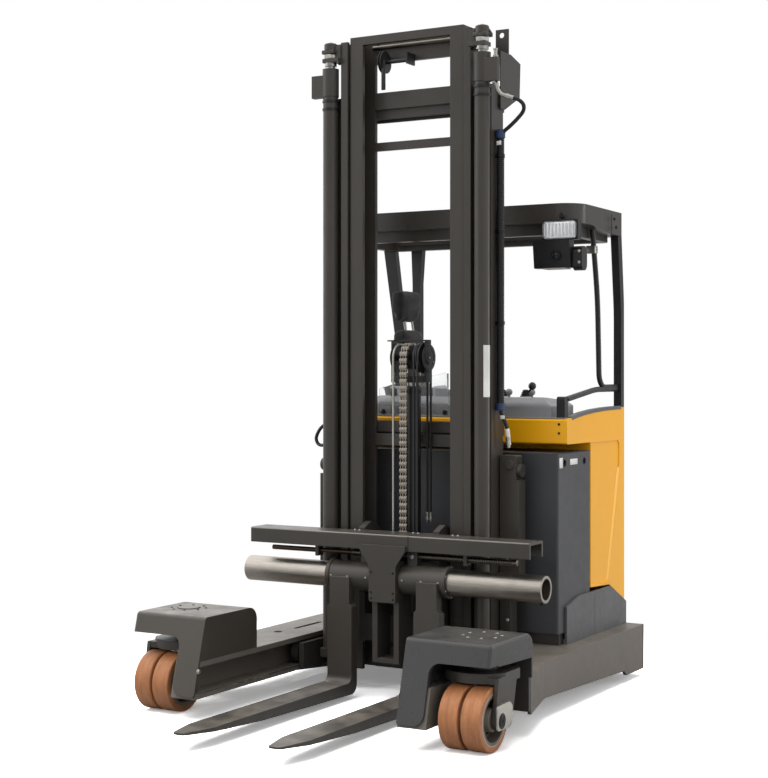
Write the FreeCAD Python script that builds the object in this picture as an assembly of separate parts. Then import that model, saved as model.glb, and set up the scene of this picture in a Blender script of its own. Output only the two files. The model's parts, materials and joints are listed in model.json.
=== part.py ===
"""Multi-directional reach truck: battery-electric, triple mast, forks on a round fork shaft.

Millimetres. +Z is up, the forks point to -Y and the driver's rear end is +Y. The origin is on the
floor, under the middle of the overall box. Each sub-part has its own function and its own STEP file.
"""
import FreeCAD, Part
import math
import os

V = FreeCAD.Vector

# ---------------------------------------------------------------- fits and plates used all over
running_fit = 0.08
seat_clearance = 0.3
rod_play = 0.5
roller_play = 0.3
plate = 15.0
sheet = 15.0
body_gap = 3.0

# ---------------------------------------------------------------- places along the truck
chassis_rear_y = 1175.0
load_axle_y = -575.0
deck_front_y = -271.0
deck_full_y = 40.0
drive_axle_y = 960.0
battery_front_y = 400.0
battery_depth = 360.0
body_front_y = battery_front_y + battery_depth + body_gap

# ---------------------------------------------------------------- heights of the chassis
deck_top_z = 242.0
leg_bottom_z = 90.0
side_skirt_z = 57.0
rear_foot_z = 33.0
rear_arch_z = 71.0

# ---------------------------------------------------------------- straddle legs
leg_inner_x = 480.0
leg_width = 125.0
leg_outer_x = leg_inner_x + leg_width
rail_web = 35.0
rail_flange = 22.0
foot_length = 200.0
foot_slope = 30.0
deck_edge_x = 748.0
deck_hole_x = 632.0
deck_hole_y = 115.0
deck_hole_length = 44.0
deck_hole_width = 36.0
deck_slot_x = 616.0
deck_slot_y = 228.0
deck_slot_length = 232.0
deck_slot_width = 22.0

# ---------------------------------------------------------------- load wheels and their turntables
load_wheel_r = 125.0
tyre_width = 82.0
tyre_gap = 14.0
tyre_edge_r = 7.0
leg_wheel_gap = 37.0
load_wheel_half = tyre_width + tyre_gap / 2
load_wheel_x = leg_outer_x + leg_wheel_gap + load_wheel_half
rim_r = 100.0
rim_wall = 14.0
hub_dish = 48.0
hub_boss_r = 45.0
hub_boss_back = 4.0
axle_r = 22.0
steer_trail = 118.0
steer_offset = 19.0
steer_x = load_wheel_x - steer_offset
steer_y = load_axle_y + steer_trail
turntable_r = 145.0
turntable_thick = 39.0
turntable_top_z = 297.0
turntable_post_r = 60.0
arm_gap = 6.0
arm_thick = 16.0
arm_inner_x = load_wheel_x + load_wheel_half + arm_gap
arm_outer_x = arm_inner_x + arm_thick
arm_top_z = 284.0
arm_waist_z = 170.0
arm_foot_z = 88.0
arm_front = 123.0
arm_rear = 41.0
arm_waist_rear = 11.0
axle_cap = 8.0
axle_cap_high_z = 190.0
axle_cap_front = 38.0
axle_cap_rear = 102.0
axle_cap_corner = 30.0
axle_boss_r = 22.0
axle_boss_in = 3.0

# ---------------------------------------------------------------- covers over the load wheels
cover_top_z = 421.0
cover_gap = 4.0
cover_outer_x = arm_outer_x + cover_gap
cover_inner_x = leg_inner_x
cover_plate = 20.0
cover_front_y = -648.0
cover_rear_y = deck_front_y - 5.0
cover_slope = 0.264
cover_front_r = 18.0
cover_rear_r = 55.0
cover_edge_r = 12.0
cover_band_front_z = 337.0
cover_band_rear_z = 321.0
cover_arch_r = 45.0
cover_pocket_gap = 10.0
cover_foot_z = 105.0
shin_outer_x = leg_outer_x - 11.0
shin_bottom_z = 100.0
shin_thick = 12.0
shin_outer_r = 45.0
shin_inner_r = 12.0
deck_wide_x = cover_outer_x - 14.0

# ---------------------------------------------------------------- drive unit
drive_wheel_r = 171.5
drive_wheel_width = 140.0
drive_tread = 38.0
drive_x = -285.0
drive_axle_r = 30.0
wheel_well_r = 210.0
bridge_z = 400.0
bridge_thick = 25.0
turret_neck_r = 70.0
turret_r = 130.0
turret_rise = 25.0
turret_leg = 42.0
turret_leg_half = 60.0
turret_leg_gap = 8.0
motor_r = 105.0
motor_flange = 10.0
motor_height = 230.0

# ---------------------------------------------------------------- battery
body_right_x = 650.0
body_left_x = -545.0
battery_height = 792.0
battery_corner_r = 12.0
tray_height = 52.0
tray_rail = 50.0
tray_rail_in = 30.0
tray_rail_end = 10.0
lifting_hole_r = 14.0
lifting_hole_depth = 30.0
lifting_hole_in = 70.0
lifting_hole_drop = 45.0
battery_head_gap = 36.0

# ---------------------------------------------------------------- bodywork
cowl_front_y = 497.0
cowl_height = 110.0
cowl_bottom_z = deck_top_z + tray_height + battery_height + battery_head_gap
cowl_top_z = cowl_bottom_z + cowl_height
cowl_corner_r = 8.0
body_top_bend_y = 690.0
body_top_bend_z = cowl_top_z + 25.0
body_top_flat_y = 1080.0
body_rear_z = cowl_top_z + 43.0
body_top_curve = 3400.0
body_flat_curve = 1500.0
body_low_front_z = 458.0
body_low_bend_y = 987.0
body_low_bend_z = 446.0
body_low_rear_z = 355.0
body_open_z = 480.0
panel_recess = 5.0
panel_top_z = cowl_bottom_z - 3.0
panel_low_z = 466.0
panel_front_in = 8.0
crease_low_y = 975.0
crease_middle_y = 1046.0
crease_middle_z = 740.0
crease_high_y = 1112.0
crease_high_z = cowl_bottom_z - 132.0
crease_curve = 900.0
panel_corner_r = 25.0
doorway_low_x = -140.0
doorway_high_x = 598.0
skirt_front_y = 469.0
skirt_split_y = 786.0
skirt_rear_in = 4.0
skirt_bottom_z = 262.0
skirt_front_z = 406.0
skirt_top_z = 441.0
skirt_rise_y = 607.0
skirt_rise_curve = 260.0
skirt_rear_z = 347.0
skirt_bend_y = 975.0
skirt_out = 12.0
skirt_foot_in = 8.0
apron_in = 60.0

# ---------------------------------------------------------------- cab
cab_floor_z = 470.0
floor_wall_x = 420.0
well_wall_x = -500.0
seat_front_gap = 10.0
seat_rear_gap = 62.0
seat_low_y = body_front_y + sheet + seat_front_gap
seat_high_y = chassis_rear_y - sheet - seat_rear_gap
seat_centre_y = (seat_low_y + seat_high_y) / 2
seat_back_x = -373.0
seat_front_x = 40.0
seat_pan_z = 925.0
seat_box_wall = 12.0
seat_box_back = 50.0
seat_box_front_x = -20.0
cushion_thick = 95.0
cushion_nose = 20.0
cushion_nose_length = 90.0
backrest_bottom_z = seat_pan_z + cushion_thick + seat_clearance
backrest_top_z = 1677.0
backrest_thick = 80.0
backrest_foot = 75.0
backrest_lean = 80.0
shoulder_drop = 260.0
shoulder_half = 105.0
headrest_gap = 47.0
headrest_height = 132.0
headrest_half_width = 112.0
headrest_depth = 90.0
headrest_neck = 60.0
headrest_neck_in = 40.0
collar_gap = 4.0
headrest_corner_r = 24.0
armrest_z = 1195.0
armrest_thick = 45.0
armrest_width = 60.0
armrest_reach = 60.0
dash_lip = 6.0
dash_lip_rise = 3.0
dash_deck_z = cowl_top_z + 8.0
dash_depth = 262.0
dash_top_z = cowl_top_z + 98.0
hood_front_z = dash_top_z - 30.0
hood_front_in = 14.0
hood_crown_in = 60.0
hood_rear_drop = 18.0
hood_shoulder_x = 505.0
hood_end_x = 566.0
hood_end_z = dash_top_z - 40.0
steer_knob_x = -40.0
steer_knob_r = 70.0
steer_knob_height = 50.0
spinner_r = 15.0
spinner_out = 40.0
control_in = 170.0
lever_places = (284.0, 400.0)
lever_r = 6.0
lever_ball_r = 16.0
lever_ball_z = dash_top_z + 20.0

# ---------------------------------------------------------------- overhead guard
roof_top_z = 2200.0
roof_front_half = 680.0
roof_rear_half = 655.0
roof_front_y = 550.0
roof_rear_y = 1165.0
roof_front_corner_r = 110.0
roof_rear_corner_r = 50.0
roof_fascia = 110.0
fascia_step = 22.0
fascia_slope_front_y = 731.0
fascia_slope_rear_y = 950.0
roof_rim = 75.0
roof_bars = 7
roof_bar_width = 34.0
roof_bar_thick = 30.0
roof_bar_drop = 12.0
roof_low_z = roof_top_z - roof_fascia
inner_beam_z = 2061.0
inner_beam_in_x = 60.0
inner_beam_in_y = 25.0
inner_beam_width = 40.0
inner_beam_corner_r = 55.0
pillar_low_z = body_rear_z - 125.0
pillar_width = 38.0
pillar_depth = 37.0
pillar_rear_gap = 2.0
pillar_bend_z = 1780.0
pillar_top_forward = 36.0
pillar_top_depth = 46.0
pillar_curve = 900.0
outer_post_foot_x = -530.0
outer_post_top_x = -650.0
outer_post_foot = 46.0
outer_post_top = 65.0
inner_post_foot_x = -478.0
inner_post_top_x = -486.0
inner_post_foot = 44.0
inner_post_top = 66.0
inner_post_flare_z = 1893.0
post_depth = 38.0
post_rear_in = 25.0

# ---------------------------------------------------------------- grab rails and lamp
rail_x = 625.0
rail_r = 12.5
rail_top_y = 853.0
rail_bend_y = 905.0
rail_bend_z = 1790.0
rail_low_y = 925.0
rail_bend_r = 1400.0
rail_elbow_r = 70.0
grab_bar_r = 13.0
stanchion_top_z = dash_deck_z + 94.0
grab_front_z = stanchion_top_z - 13.0
grab_bend_y = 880.0
grab_rear_z = stanchion_top_z + 28.0
rail_low_z = grab_rear_z + 10.0
grab_curve = 900.0
stanchion_x = 594.0
stanchion_width = 40.0
stanchion_in = 12.0
stanchion_depth = 36.0
stanchion_corner_r = 16.0
lamp_low_x = 523.0
lamp_width = 173.0
lamp_low_z = 2030.0
lamp_height = 92.0
lamp_front_y = 500.0
lamp_depth = 36.0
lamp_corner_r = 10.0
lens_depth = 12.0
lens_rim = 7.0
lamp_arm_width = 40.0
lamp_arm_drop = 27.0
camera_low_x = 475.0
camera_width = 178.0
camera_height = 122.0
camera_depth = 52.0
camera_lean = 16.0
pod_gap = 4.0
pod_width = 45.0
pod_front_y = 540.0
pod_depth = 60.0
pod_low_z = 1896.0
pod_height = 109.0

# ---------------------------------------------------------------- mast: channel sections and heights
mast_foot_z = 75.0
mast_rear_y = 338.0
mast_top_z = 2966.0
channel_web = 16.0
channel_flange = 18.0
stage_step = 10.0
inner_web_x = 290.0
inner_flange_x = 224.0
inner_rear_flange_x = 215.0
inner_front_y = 195.0
inner_rear_y = 312.0
inner_bar = 24.0
middle_web_x = 332.0
middle_flange_x = 297.0
middle_front_y = 182.0
middle_rear_y = 330.0
middle_bar = 12.0
middle_top_z = mast_top_z - 19.0
outer_web_x = 413.0
outer_flange_x = 340.0
outer_front_y = 223.0
outer_bar = 12.0
outer_top_z = mast_top_z - 266.0
stage_roller_z = 220.0
stage_roller_width = 14.0
roller_stub_r = 20.0

# ---------------------------------------------------------------- cross members of the mast
foot_bar_height = 100.0
front_bar_height = 38.0
front_bar_thick = 22.0
head_plate_z = mast_top_z - 111.0
head_lip_r = 8.0
shelf_plate_z = mast_top_z - 311.0
shelf_plate_height = 65.0
shelf_plate_y = 284.0
shelf_plate_thick = 10.0
shelf_thick = 12.0
shelf_lip_z = shelf_plate_z - 55.0
shelf_lip_thick = 12.0
third_bar_z = mast_top_z - 510.0
third_bar_height = 37.0
anchor_bar_z = 1108.0
anchor_bar_height = 54.0
middle_bar_z = 1169.0
middle_bar_height = 47.0
middle_top_bar_z = middle_top_z - 307.0
middle_top_bar_height = 76.0
middle_foot_bar_z = 225.0
middle_foot_bar_height = 80.0
outer_bar_z = 1160.0
outer_bar_height = 60.0
outer_top_bar_drop = 110.0
outer_top_bar_height = 100.0

# ---------------------------------------------------------------- lift cylinders
lift_cylinder_x = 388.0
lift_cylinder_y = 183.0
lift_barrel_r = 35.0
lift_gland_r = 38.0
lift_gland_length = 127.0
lift_barrel_top_z = outer_top_z + 130.0
lift_rod_r = 20.0
lift_foot_z = 180.0
lift_foot_height = 40.0
lift_bottom_wall = 20.0
rod_nut_r = 28.0
rod_nut_height = 16.0
rod_bracket_z = middle_top_z - 89.0
lift_rod_top_z = rod_bracket_z + 87.0
rod_bracket_thick = 18.0
rod_gusset_top_z = rod_bracket_z + 77.0
rod_gusset_width = 25.0
port_reach_x = 473.0
port_depth = 30.0
port_low_z = lift_barrel_top_z - 131.0
port_height = 102.0
strap_height = 60.0

# ---------------------------------------------------------------- hose guard and head pulley
guard_x = 421.0
guard_thick = 4.0
guard_front_y = 290.0
guard_low_z = outer_top_z - 100.0
guard_top_z = outer_top_z + 153.0
guard_rear_y = 492.0
guard_heel_y = 334.0
guard_heel_z = outer_top_z - 26.0
guard_nose_y = 393.0
guard_nose_z = outer_top_z + 127.0
hanger_plate_x = 362.0
hanger_plate_y = 368.0
hanger_plate_thick = 6.0
hanger_plate_z = guard_top_z - 43.0
hanger_plate_top_z = guard_top_z + 111.0
hanger_hole_r = 12.0
hanger_hole_z = guard_top_z + 85.0
head_pulley_x = -134.0
head_pulley_y = 236.0
head_pulley_z = mast_top_z - 120.0
head_pulley_r = 50.0
head_pulley_width = 16.0
head_axle_r = 9.0
head_axle_end_x = -4.0
head_axle_in = 24.0
head_ear = 8.0
head_ear_top_z = mast_top_z - 86.0

# ---------------------------------------------------------------- free lift
free_lift_x = 32.0
free_lift_y = 214.0
free_barrel_r = 31.0
free_rod_r = 19.0
free_barrel_top_z = 1380.0
free_foot_height = 35.0
sheave_axle_z = 1507.0
sheave_axle_r = 14.0
sheave_r = 70.0
sheave_rim = 4.0
sheave_groove = 12.0
chain_x = 12.5
chain_width = 37.0
chain_thick = 18.0
chain_end_z = 560.0
hose_sheave_x = 83.5
hose_sheave_width = 17.0
pipe_sheave_x = -54.0
pipe_sheave_r = 60.0
pipe_sheave_width = 8.0
yoke_low_x = -72.0
yoke_high_x = 106.0
yoke_half_y = 24.0
yoke_thick = 28.0
yoke_gap = 12.0
yoke_side = 8.0
yoke_top_z = 1587.0
guard_strap_low_x = -107.0
guard_strap_high_x = 106.0
guard_strap_thick = 6.0
guard_strap_width = 22.0

# ---------------------------------------------------------------- reach carriage
rail_gap = 6.0
carriage_bottom_z = 90.0
carriage_top_z = 214.0
base_plate = 16.0
base_rear_y = 378.0
base_cheek = 24.0
base_cheek_rise = 8.0
roller_width = 34.0
roller_front_y = 110.0
roller_rear_y = 320.0
roller_places = (roller_front_y, roller_rear_y)
roller_front = 60.0
tower_inner_x = 420.0
tower_outer_x = 513.0
tower_head_x = 497.0
tower_slim_x = 472.0
tower_front_y = 290.0
tower_depth = 66.0
tower_lift = 8.0
tower_slim_z = 440.0
tower_shoulder_z = 490.0
tower_step_z = 970.0
tower_top_z = 1078.0
tilt_pin_y = tower_front_y + tower_depth / 2
tilt_pin_z = 1011.5
tilt_pin_r = 22.0
pin_head_r = 28.5
pin_head = 20.0
tower_boss_x = 469.0
tower_boss_z = 1039.0
tower_boss_r = 20.0
tower_boss_out = 8.0
reach_cylinder_x = 0.0
reach_cylinder_z = 172.0
reach_barrel_r = 38.0
reach_rod_r = 20.0
reach_travel = 590.0
reach_barrel_spare = 70.0
reach_rod_spare = 40.0
reach_barrel_wall = 20.0
reach_strap = 40.0

# ---------------------------------------------------------------- fork carriage
shaft_y = 63.0
shaft_z = 538.0
shaft_r = 57.0
shaft_bore_r = 45.0
shaft_half = 746.0
beam_front_y = -5.0
beam_rear_y = 129.0
beam_bottom_z = 667.0
beam_top_z = 735.0
beam_half = 701.0
beam_plate = 12.0
beam_corner_r = 8.0
spindle_y = 66.0
spindle_z = 640.0
spindle_r = 14.5
spindle_thin_r = 11.0
spindle_step_x = -191.0
spindle_left_x = -626.0
spindle_right_x = 612.0
hanger_x = 375.0
hanger_thick = 16.0
hanger_half_y = 22.0
hanger_drop = 24.0
plate_half = 67.0
plate_thick = 12.0
plate_bottom_z = 439.0
plate_flare = 115.0
plate_flare_drop = 70.0
plate_overlap = 22.0
plate_corner_r = 12.0
plate_waist_r = 60.0
plate_flare_r = 30.0
spindle_gap = 8.0
rib_x = 41.0
rib_thick = 26.0
rib_bottom_z = 190.0
rib_foot = 20.0
rib_in = 20.0
carriage_cheek_x = 175.0
carriage_cheek = 30.0
carriage_cheek_rear_y = 278.0
carriage_low_z = 230.0
carriage_rear_z = 735.0
carriage_front_z = 745.0
carriage_point_y = 190.0
carriage_high_z = 770.0
carriage_roller_low_z = 290.0
carriage_roller_high_z = 690.0
cross_plate = 12.0
low_cross_z = 240.0
low_cross_height = 120.0
high_cross_drop = 60.0
chain_lug = 12.0
chain_lug_gap = 5.0

# ---------------------------------------------------------------- forks
fork_x = 219.0
fork_width = 125.0
fork_neck = 100.0
fork_face_y = -15.0
fork_shank = 48.0
fork_length = 1160.0
blade_top_z = 75.0
blade_low_z = 21.0
blade_rise = 17.0
blade_rise_y = -700.0
tip_thick = 8.0
tip_width = 52.0
tip_taper = 150.0
tip_side_r = 80.0
tip_corner_r = 18.0
heel_r = 30.0
heel_outer_r = 44.0
neck_bottom_z = 420.0
neck_shoulder = 14.0
sleeve_r = 66.0
sleeve_inner_x = 72.0
sleeve_outer_x = 301.0
flange_r = 71.0
flange_thick = 17.0
lug_x = 98.0
lug_width = 44.0
lug_half_y = 22.0
lug_rise = 24.0
lug_sink = 12.0

# ================================================================ helpers
def block(x_low, x_high, y_low, y_high, z_low, z_high):
    """An axis-aligned block between two corners."""
    return Part.makeBox(x_high - x_low, y_high - y_low, z_high - z_low, V(x_low, y_low, z_low))


def rod(start, end, radius):
    """A round bar between two points."""
    axis = V(*end) - V(*start)
    return Part.makeCylinder(radius, axis.Length, V(*start), axis)


def rod_x(low_x, high_x, y, z, radius):
    """A round bar along X."""
    return rod((low_x, y, z), (high_x, y, z), radius)


def rod_y(low_y, high_y, x, z, radius):
    """A round bar along Y."""
    return rod((x, low_y, z), (x, high_y, z), radius)


def rod_z(low_z, high_z, x, y, radius):
    """A round bar along Z."""
    return rod((x, y, low_z), (x, y, high_z), radius)


def ring_x(low_x, high_x, y, z, radius, bore):
    """A round tube along X."""
    return rod_x(low_x, high_x, y, z, radius).cut(rod_x(low_x, high_x, y, z, bore))


def outline(points, place):
    """A closed wire through (a, b) or (a, b, corner radius) points, placed in space by place(a, b)."""
    count = len(points)
    edges = []
    ends = []
    for i, point in enumerate(points):
        here = V(point[0], point[1], 0)
        radius = point[2] if len(point) > 2 else 0.0
        if radius == 0.0:
            ends.append((here, here))
            continue
        before = (V(points[i - 1][0], points[i - 1][1], 0) - here).normalize()
        after = (V(points[(i + 1) % count][0], points[(i + 1) % count][1], 0) - here).normalize()
        half = before.getAngle(after) / 2
        reach = radius / math.tan(half)
        middle = (before + after).normalize() * (radius / math.sin(half) - radius)
        first = here + before * reach
        last = here + after * reach
        edges.append(Part.Arc(place(first.x, first.y), place(here.x + middle.x, here.y + middle.y),
                              place(last.x, last.y)).toShape())
        ends.append((first, last))
    for i in range(count):
        first = ends[i][1]
        last = ends[(i + 1) % count][0]
        if (last - first).Length > 1e-6:
            edges.append(Part.makeLine(place(first.x, first.y), place(last.x, last.y)))
    return Part.Wire(Part.__sortEdges__(edges))


def slab_x(points, x_low, x_high):
    """An outline of (y, z) points made solid from x_low to x_high."""
    face = Part.Face(outline(points, lambda a, b: V(x_low, a, b)))
    return face.extrude(V(x_high - x_low, 0, 0))


def slab_y(points, y_low, y_high):
    """An outline of (x, z) points made solid from y_low to y_high."""
    face = Part.Face(outline(points, lambda a, b: V(a, y_low, b)))
    return face.extrude(V(0, y_high - y_low, 0))


def slab_z(points, z_low, z_high):
    """An outline of (x, y) points made solid from z_low to z_high."""
    face = Part.Face(outline(points, lambda a, b: V(a, b, z_low)))
    return face.extrude(V(0, 0, z_high - z_low))


def fused(shapes):
    """One solid from pieces that touch or overlap."""
    shape = shapes[0].multiFuse(shapes[1:]) if len(shapes) > 1 else shapes[0]
    return shape.removeSplitter()


def mirrored(shape):
    """The same piece on the other side of the truck."""
    return shape.mirror(V(0, 0, 0), V(1, 0, 0))


def pair(shape):
    """Two like pieces, one on each side, kept apart."""
    return Part.makeCompound([shape, mirrored(shape)])


def body_pair(shape):
    """Two like pieces on the body's two sides, which aren't equally far from the truck's middle."""
    other = mirrored(shape)
    other.translate(V(body_left_x + body_right_x, 0, 0))
    return [shape, other]


def bent_bar(points, radius, bends):
    """A round bar along straight runs joined by tangent arcs of the given bend radii."""
    path = [V(*p) for p in points]
    edges = []
    start = path[0]
    for i in range(1, len(path) - 1):
        back = (path[i - 1] - path[i]).normalize()
        ahead = (path[i + 1] - path[i]).normalize()
        half = back.getAngle(ahead) / 2
        reach = bends[i - 1] / math.tan(half)
        first = path[i] + back * reach
        last = path[i] + ahead * reach
        middle = path[i] + (back + ahead).normalize() * (bends[i - 1] / math.sin(half) - bends[i - 1])
        edges.append(Part.makeLine(start, first))
        edges.append(Part.Arc(first, middle, last).toShape())
        start = last
    edges.append(Part.makeLine(start, path[-1]))
    wire = Part.Wire(edges)
    section = Part.Wire(Part.makeCircle(radius, path[0], path[1] - path[0]))
    return wire.makePipeShell([section], True, False)


def channel(web_x, flange_x, rear_flange_x, front_y, rear_y, z_low, z_high):
    """An upright C section that opens towards the truck's middle: web outside, flanges at both ends."""
    web = block(web_x - channel_web, web_x, front_y, rear_y, z_low, z_high)
    front = block(flange_x, web_x, front_y, front_y + channel_flange, z_low, z_high)
    rear = block(rear_flange_x, web_x, rear_y - channel_flange, rear_y, z_low, z_high)
    return fused([web, front, rear])


# ================================================================ chassis
def cover_face_y(z):
    """The leaning front face of a wheel cover at height z."""
    return cover_front_y - cover_slope * (cover_top_z - z)


def chassis_leg(with_holes):
    """Straddle leg: the inward-open rail for the reach rollers, with the deck and side skirt outside."""
    rear = chassis_rear_y - plate
    foot_y = rear - foot_length
    nose_y = cover_face_y(leg_bottom_z) + shin_thick
    rail = slab_x([(cover_face_y(deck_top_z) + shin_thick, deck_top_z), (rear, deck_top_z),
                   (rear, side_skirt_z), (battery_front_y, side_skirt_z), (deck_full_y, leg_bottom_z),
                   (nose_y, leg_bottom_z)], leg_inner_x, leg_outer_x)
    groove = block(leg_inner_x - 1, leg_outer_x - rail_web, nose_y - 1, battery_front_y - plate,
                   leg_bottom_z + rail_flange, deck_top_z - rail_flange)
    deck = slab_z([(leg_outer_x, deck_front_y), (deck_wide_x, deck_front_y), (deck_edge_x, deck_full_y),
                   (deck_edge_x, rear), (leg_outer_x, rear)], deck_top_z - plate, deck_top_z)
    skirt_plan = slab_z([(deck_wide_x, deck_front_y), (deck_edge_x, deck_full_y), (deck_edge_x, rear),
                         (deck_edge_x - plate, rear), (deck_edge_x - plate, deck_full_y),
                         (deck_wide_x - plate, deck_front_y)], rear_foot_z, deck_top_z - plate)
    skirt_side = slab_x([(deck_front_y - 1, leg_bottom_z), (deck_full_y, leg_bottom_z),
                         (foot_y - foot_slope, side_skirt_z), (foot_y, rear_foot_z),
                         (rear, rear_foot_z), (rear, deck_top_z - plate),
                         (deck_front_y - 1, deck_top_z - plate)], leg_outer_x, deck_wide_x + 1)
    leg = fused([rail.cut(groove), deck, skirt_plan.common(skirt_side)])
    if with_holes:
        leg = leg.cut(deck_opening(deck_hole_x, deck_hole_y - deck_hole_length / 2, deck_hole_width,
                                   deck_hole_length))
        leg = leg.cut(deck_opening(deck_slot_x, deck_slot_y, deck_slot_width, deck_slot_length))
    return leg


def deck_opening(x, low_y, width, length):
    """The cutter of a round-ended slot through the deck plate."""
    half = width / 2
    radius = half - 0.01
    return slab_z([(x - half, low_y, radius), (x + half, low_y, radius), (x + half, low_y + length, radius),
                   (x - half, low_y + length, radius)], deck_top_z - plate - 1, deck_top_z + 1)


def rear_frame():
    """Floor plate, bulkhead, rear wall and the battery's two cross rails, open round the drive wheel."""
    floor = block(-leg_inner_x, leg_inner_x, battery_front_y, chassis_rear_y - plate,
                  deck_top_z - plate, deck_top_z)
    floor = floor.cut(rod_z(0, deck_top_z + 1, drive_x, drive_axle_y, wheel_well_r))
    bulkhead = block(-leg_inner_x, leg_inner_x, battery_front_y - plate, battery_front_y,
                     carriage_bottom_z, deck_top_z)
    port = rod_y(battery_front_y - plate - 1, battery_front_y + 1, reach_cylinder_x, reach_cylinder_z,
                 reach_barrel_r + running_fit)
    foot_x = deck_edge_x - foot_length
    rear_wall = slab_y([(-deck_edge_x, rear_foot_z), (-foot_x, rear_foot_z),
                        (-foot_x + foot_slope, rear_arch_z),
                        (foot_x - foot_slope, rear_arch_z), (foot_x, rear_foot_z), (deck_edge_x, rear_foot_z),
                        (deck_edge_x, deck_top_z), (-deck_edge_x, deck_top_z)],
                       chassis_rear_y - plate, chassis_rear_y)
    rails = []
    rear_rail_y = battery_front_y + battery_depth - tray_rail_in - tray_rail
    for y in (battery_front_y + tray_rail_in, rear_rail_y):
        rails.append(block(body_left_x + tray_rail_end, body_right_x - tray_rail_end, y, y + tray_rail,
                           deck_top_z, deck_top_z + tray_height))
    return fused([floor, bulkhead.cut(port), rear_wall] + rails)


def cab_floor():
    """Cab floor on three walls, with the bridge over the drive wheel that carries the turret's neck."""
    low_y = body_front_y + 2 * sheet
    high_y = chassis_rear_y - plate
    floor_low_z = cab_floor_z - sheet
    well_x = drive_x + wheel_well_r + 2
    parts = []
    for x in (well_wall_x, well_x, floor_wall_x):
        parts.append(block(x, x + plate, low_y, high_y, deck_top_z, floor_low_z))
    parts.append(block(well_wall_x, well_x + plate, low_y, high_y, bridge_z, bridge_z + bridge_thick))
    floor = block(body_left_x + sheet, body_right_x - sheet, low_y - sheet, high_y, floor_low_z, cab_floor_z)
    parts.append(floor.cut(rod_z(floor_low_z - 1, cab_floor_z + 1, drive_x, drive_axle_y,
                                 motor_r + motor_flange)))
    neck = rod_z(bridge_z - 1, bridge_z + bridge_thick + 1, drive_x, drive_axle_y,
                 turret_neck_r + running_fit)
    return fused(parts).cut(neck)


def wheel_cover():
    """Hood over one load wheel: box on the leg, top, outer band, rear wall and leaning front plate."""
    side = [(cover_front_y, cover_top_z, cover_front_r), (cover_rear_y, cover_top_z, cover_rear_r),
            (cover_rear_y, deck_top_z), (cover_face_y(deck_top_z), deck_top_z)]
    hood = slab_x(side, cover_inner_x, cover_outer_x)
    rim = [e for e in hood.Edges if min(v.X for v in e.Vertexes) > cover_outer_x - 1e-3
           and max(v.Z for v in e.Vertexes) > deck_top_z + 1]
    hood = hood.makeFillet(cover_edge_r, rim)
    wall_front_y = cover_front_y + cover_plate
    wall_rear_y = cover_rear_y - cover_plate
    pocket_x = steer_x - turntable_r - cover_pocket_gap
    hollow = slab_x([(wall_front_y, cover_top_z - cover_plate),
                     (wall_rear_y, cover_top_z - cover_plate, cover_rear_r - cover_plate),
                     (wall_rear_y, deck_top_z - 1), (cover_face_y(deck_top_z) + cover_plate, deck_top_z - 1)],
                    pocket_x, cover_outer_x - cover_plate)
    front_y = cover_face_y(0)
    below_band = slab_x([(front_y, deck_top_z - 1), (wall_rear_y, deck_top_z - 1),
                         (wall_rear_y, cover_band_rear_z), (front_y, cover_band_front_z)],
                        cover_outer_x - cover_plate - 1, cover_outer_x + 1)
    arch = slab_y([(shin_outer_x, deck_top_z - 1), (shin_outer_x, cover_band_front_z, cover_arch_r),
                   (cover_outer_x + 1, cover_band_front_z), (cover_outer_x + 1, deck_top_z - 1)],
                  front_y, cover_front_y + 3 * cover_plate)
    hood = hood.cut(hollow).cut(below_band).cut(arch)
    rear_wall = block(leg_outer_x, cover_outer_x - cover_edge_r, wall_rear_y, cover_rear_y - 1, cover_foot_z,
                      deck_top_z + 1)
    shin = slab_x([(cover_face_y(deck_top_z + 2), deck_top_z + 2),
                   (cover_face_y(shin_bottom_z), shin_bottom_z),
                   (cover_face_y(shin_bottom_z) + shin_thick, shin_bottom_z),
                   (cover_face_y(deck_top_z + 2) + shin_thick, deck_top_z + 2)], cover_inner_x, shin_outer_x)
    shin_view = slab_y([(cover_inner_x, deck_top_z + 3), (cover_inner_x, shin_bottom_z, shin_inner_r),
                        (shin_outer_x, shin_bottom_z, shin_outer_r), (shin_outer_x, deck_top_z + 3)],
                       front_y, cover_front_y + 3 * cover_plate)
    return fused([hood, rear_wall, shin.common(shin_view)])


def battery():
    """Battery box with rounded upright edges and two lifting holes a side."""
    rear_y = battery_front_y + battery_depth
    bottom_z = deck_top_z + tray_height
    corner = battery_corner_r
    shape = slab_z([(body_left_x, battery_front_y, corner), (body_right_x, battery_front_y, corner),
                    (body_right_x, rear_y, corner), (body_left_x, rear_y, corner)],
                   bottom_z, bottom_z + battery_height)
    hole_z = bottom_z + battery_height - lifting_hole_drop
    for y in (battery_front_y + lifting_hole_in, rear_y - lifting_hole_in):
        for hole in body_pair(rod_x(body_right_x - lifting_hole_depth, body_right_x + 1, y, hole_z,
                                    lifting_hole_r)):
            shape = shape.cut(hole)
    return shape


# ================================================================ bodywork and cab
def body_side_outline(inset):
    """The (y, z) side view of the yellow body, drawn in by inset all round."""
    rear_y = chassis_rear_y - inset
    return [(cowl_front_y + inset, cowl_bottom_z + inset, cowl_corner_r),
            (cowl_front_y + inset, cowl_top_z - inset, cowl_corner_r),
            (body_top_bend_y, body_top_bend_z - inset, body_top_curve),
            (body_top_flat_y, body_rear_z - inset, body_flat_curve),
            (rear_y, body_rear_z - inset),
            (rear_y, body_low_rear_z + inset),
            (body_low_bend_y, body_low_bend_z + inset),
            (body_front_y + inset, body_low_front_z + inset),
            (body_front_y + inset, cowl_bottom_z + inset)]


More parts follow.
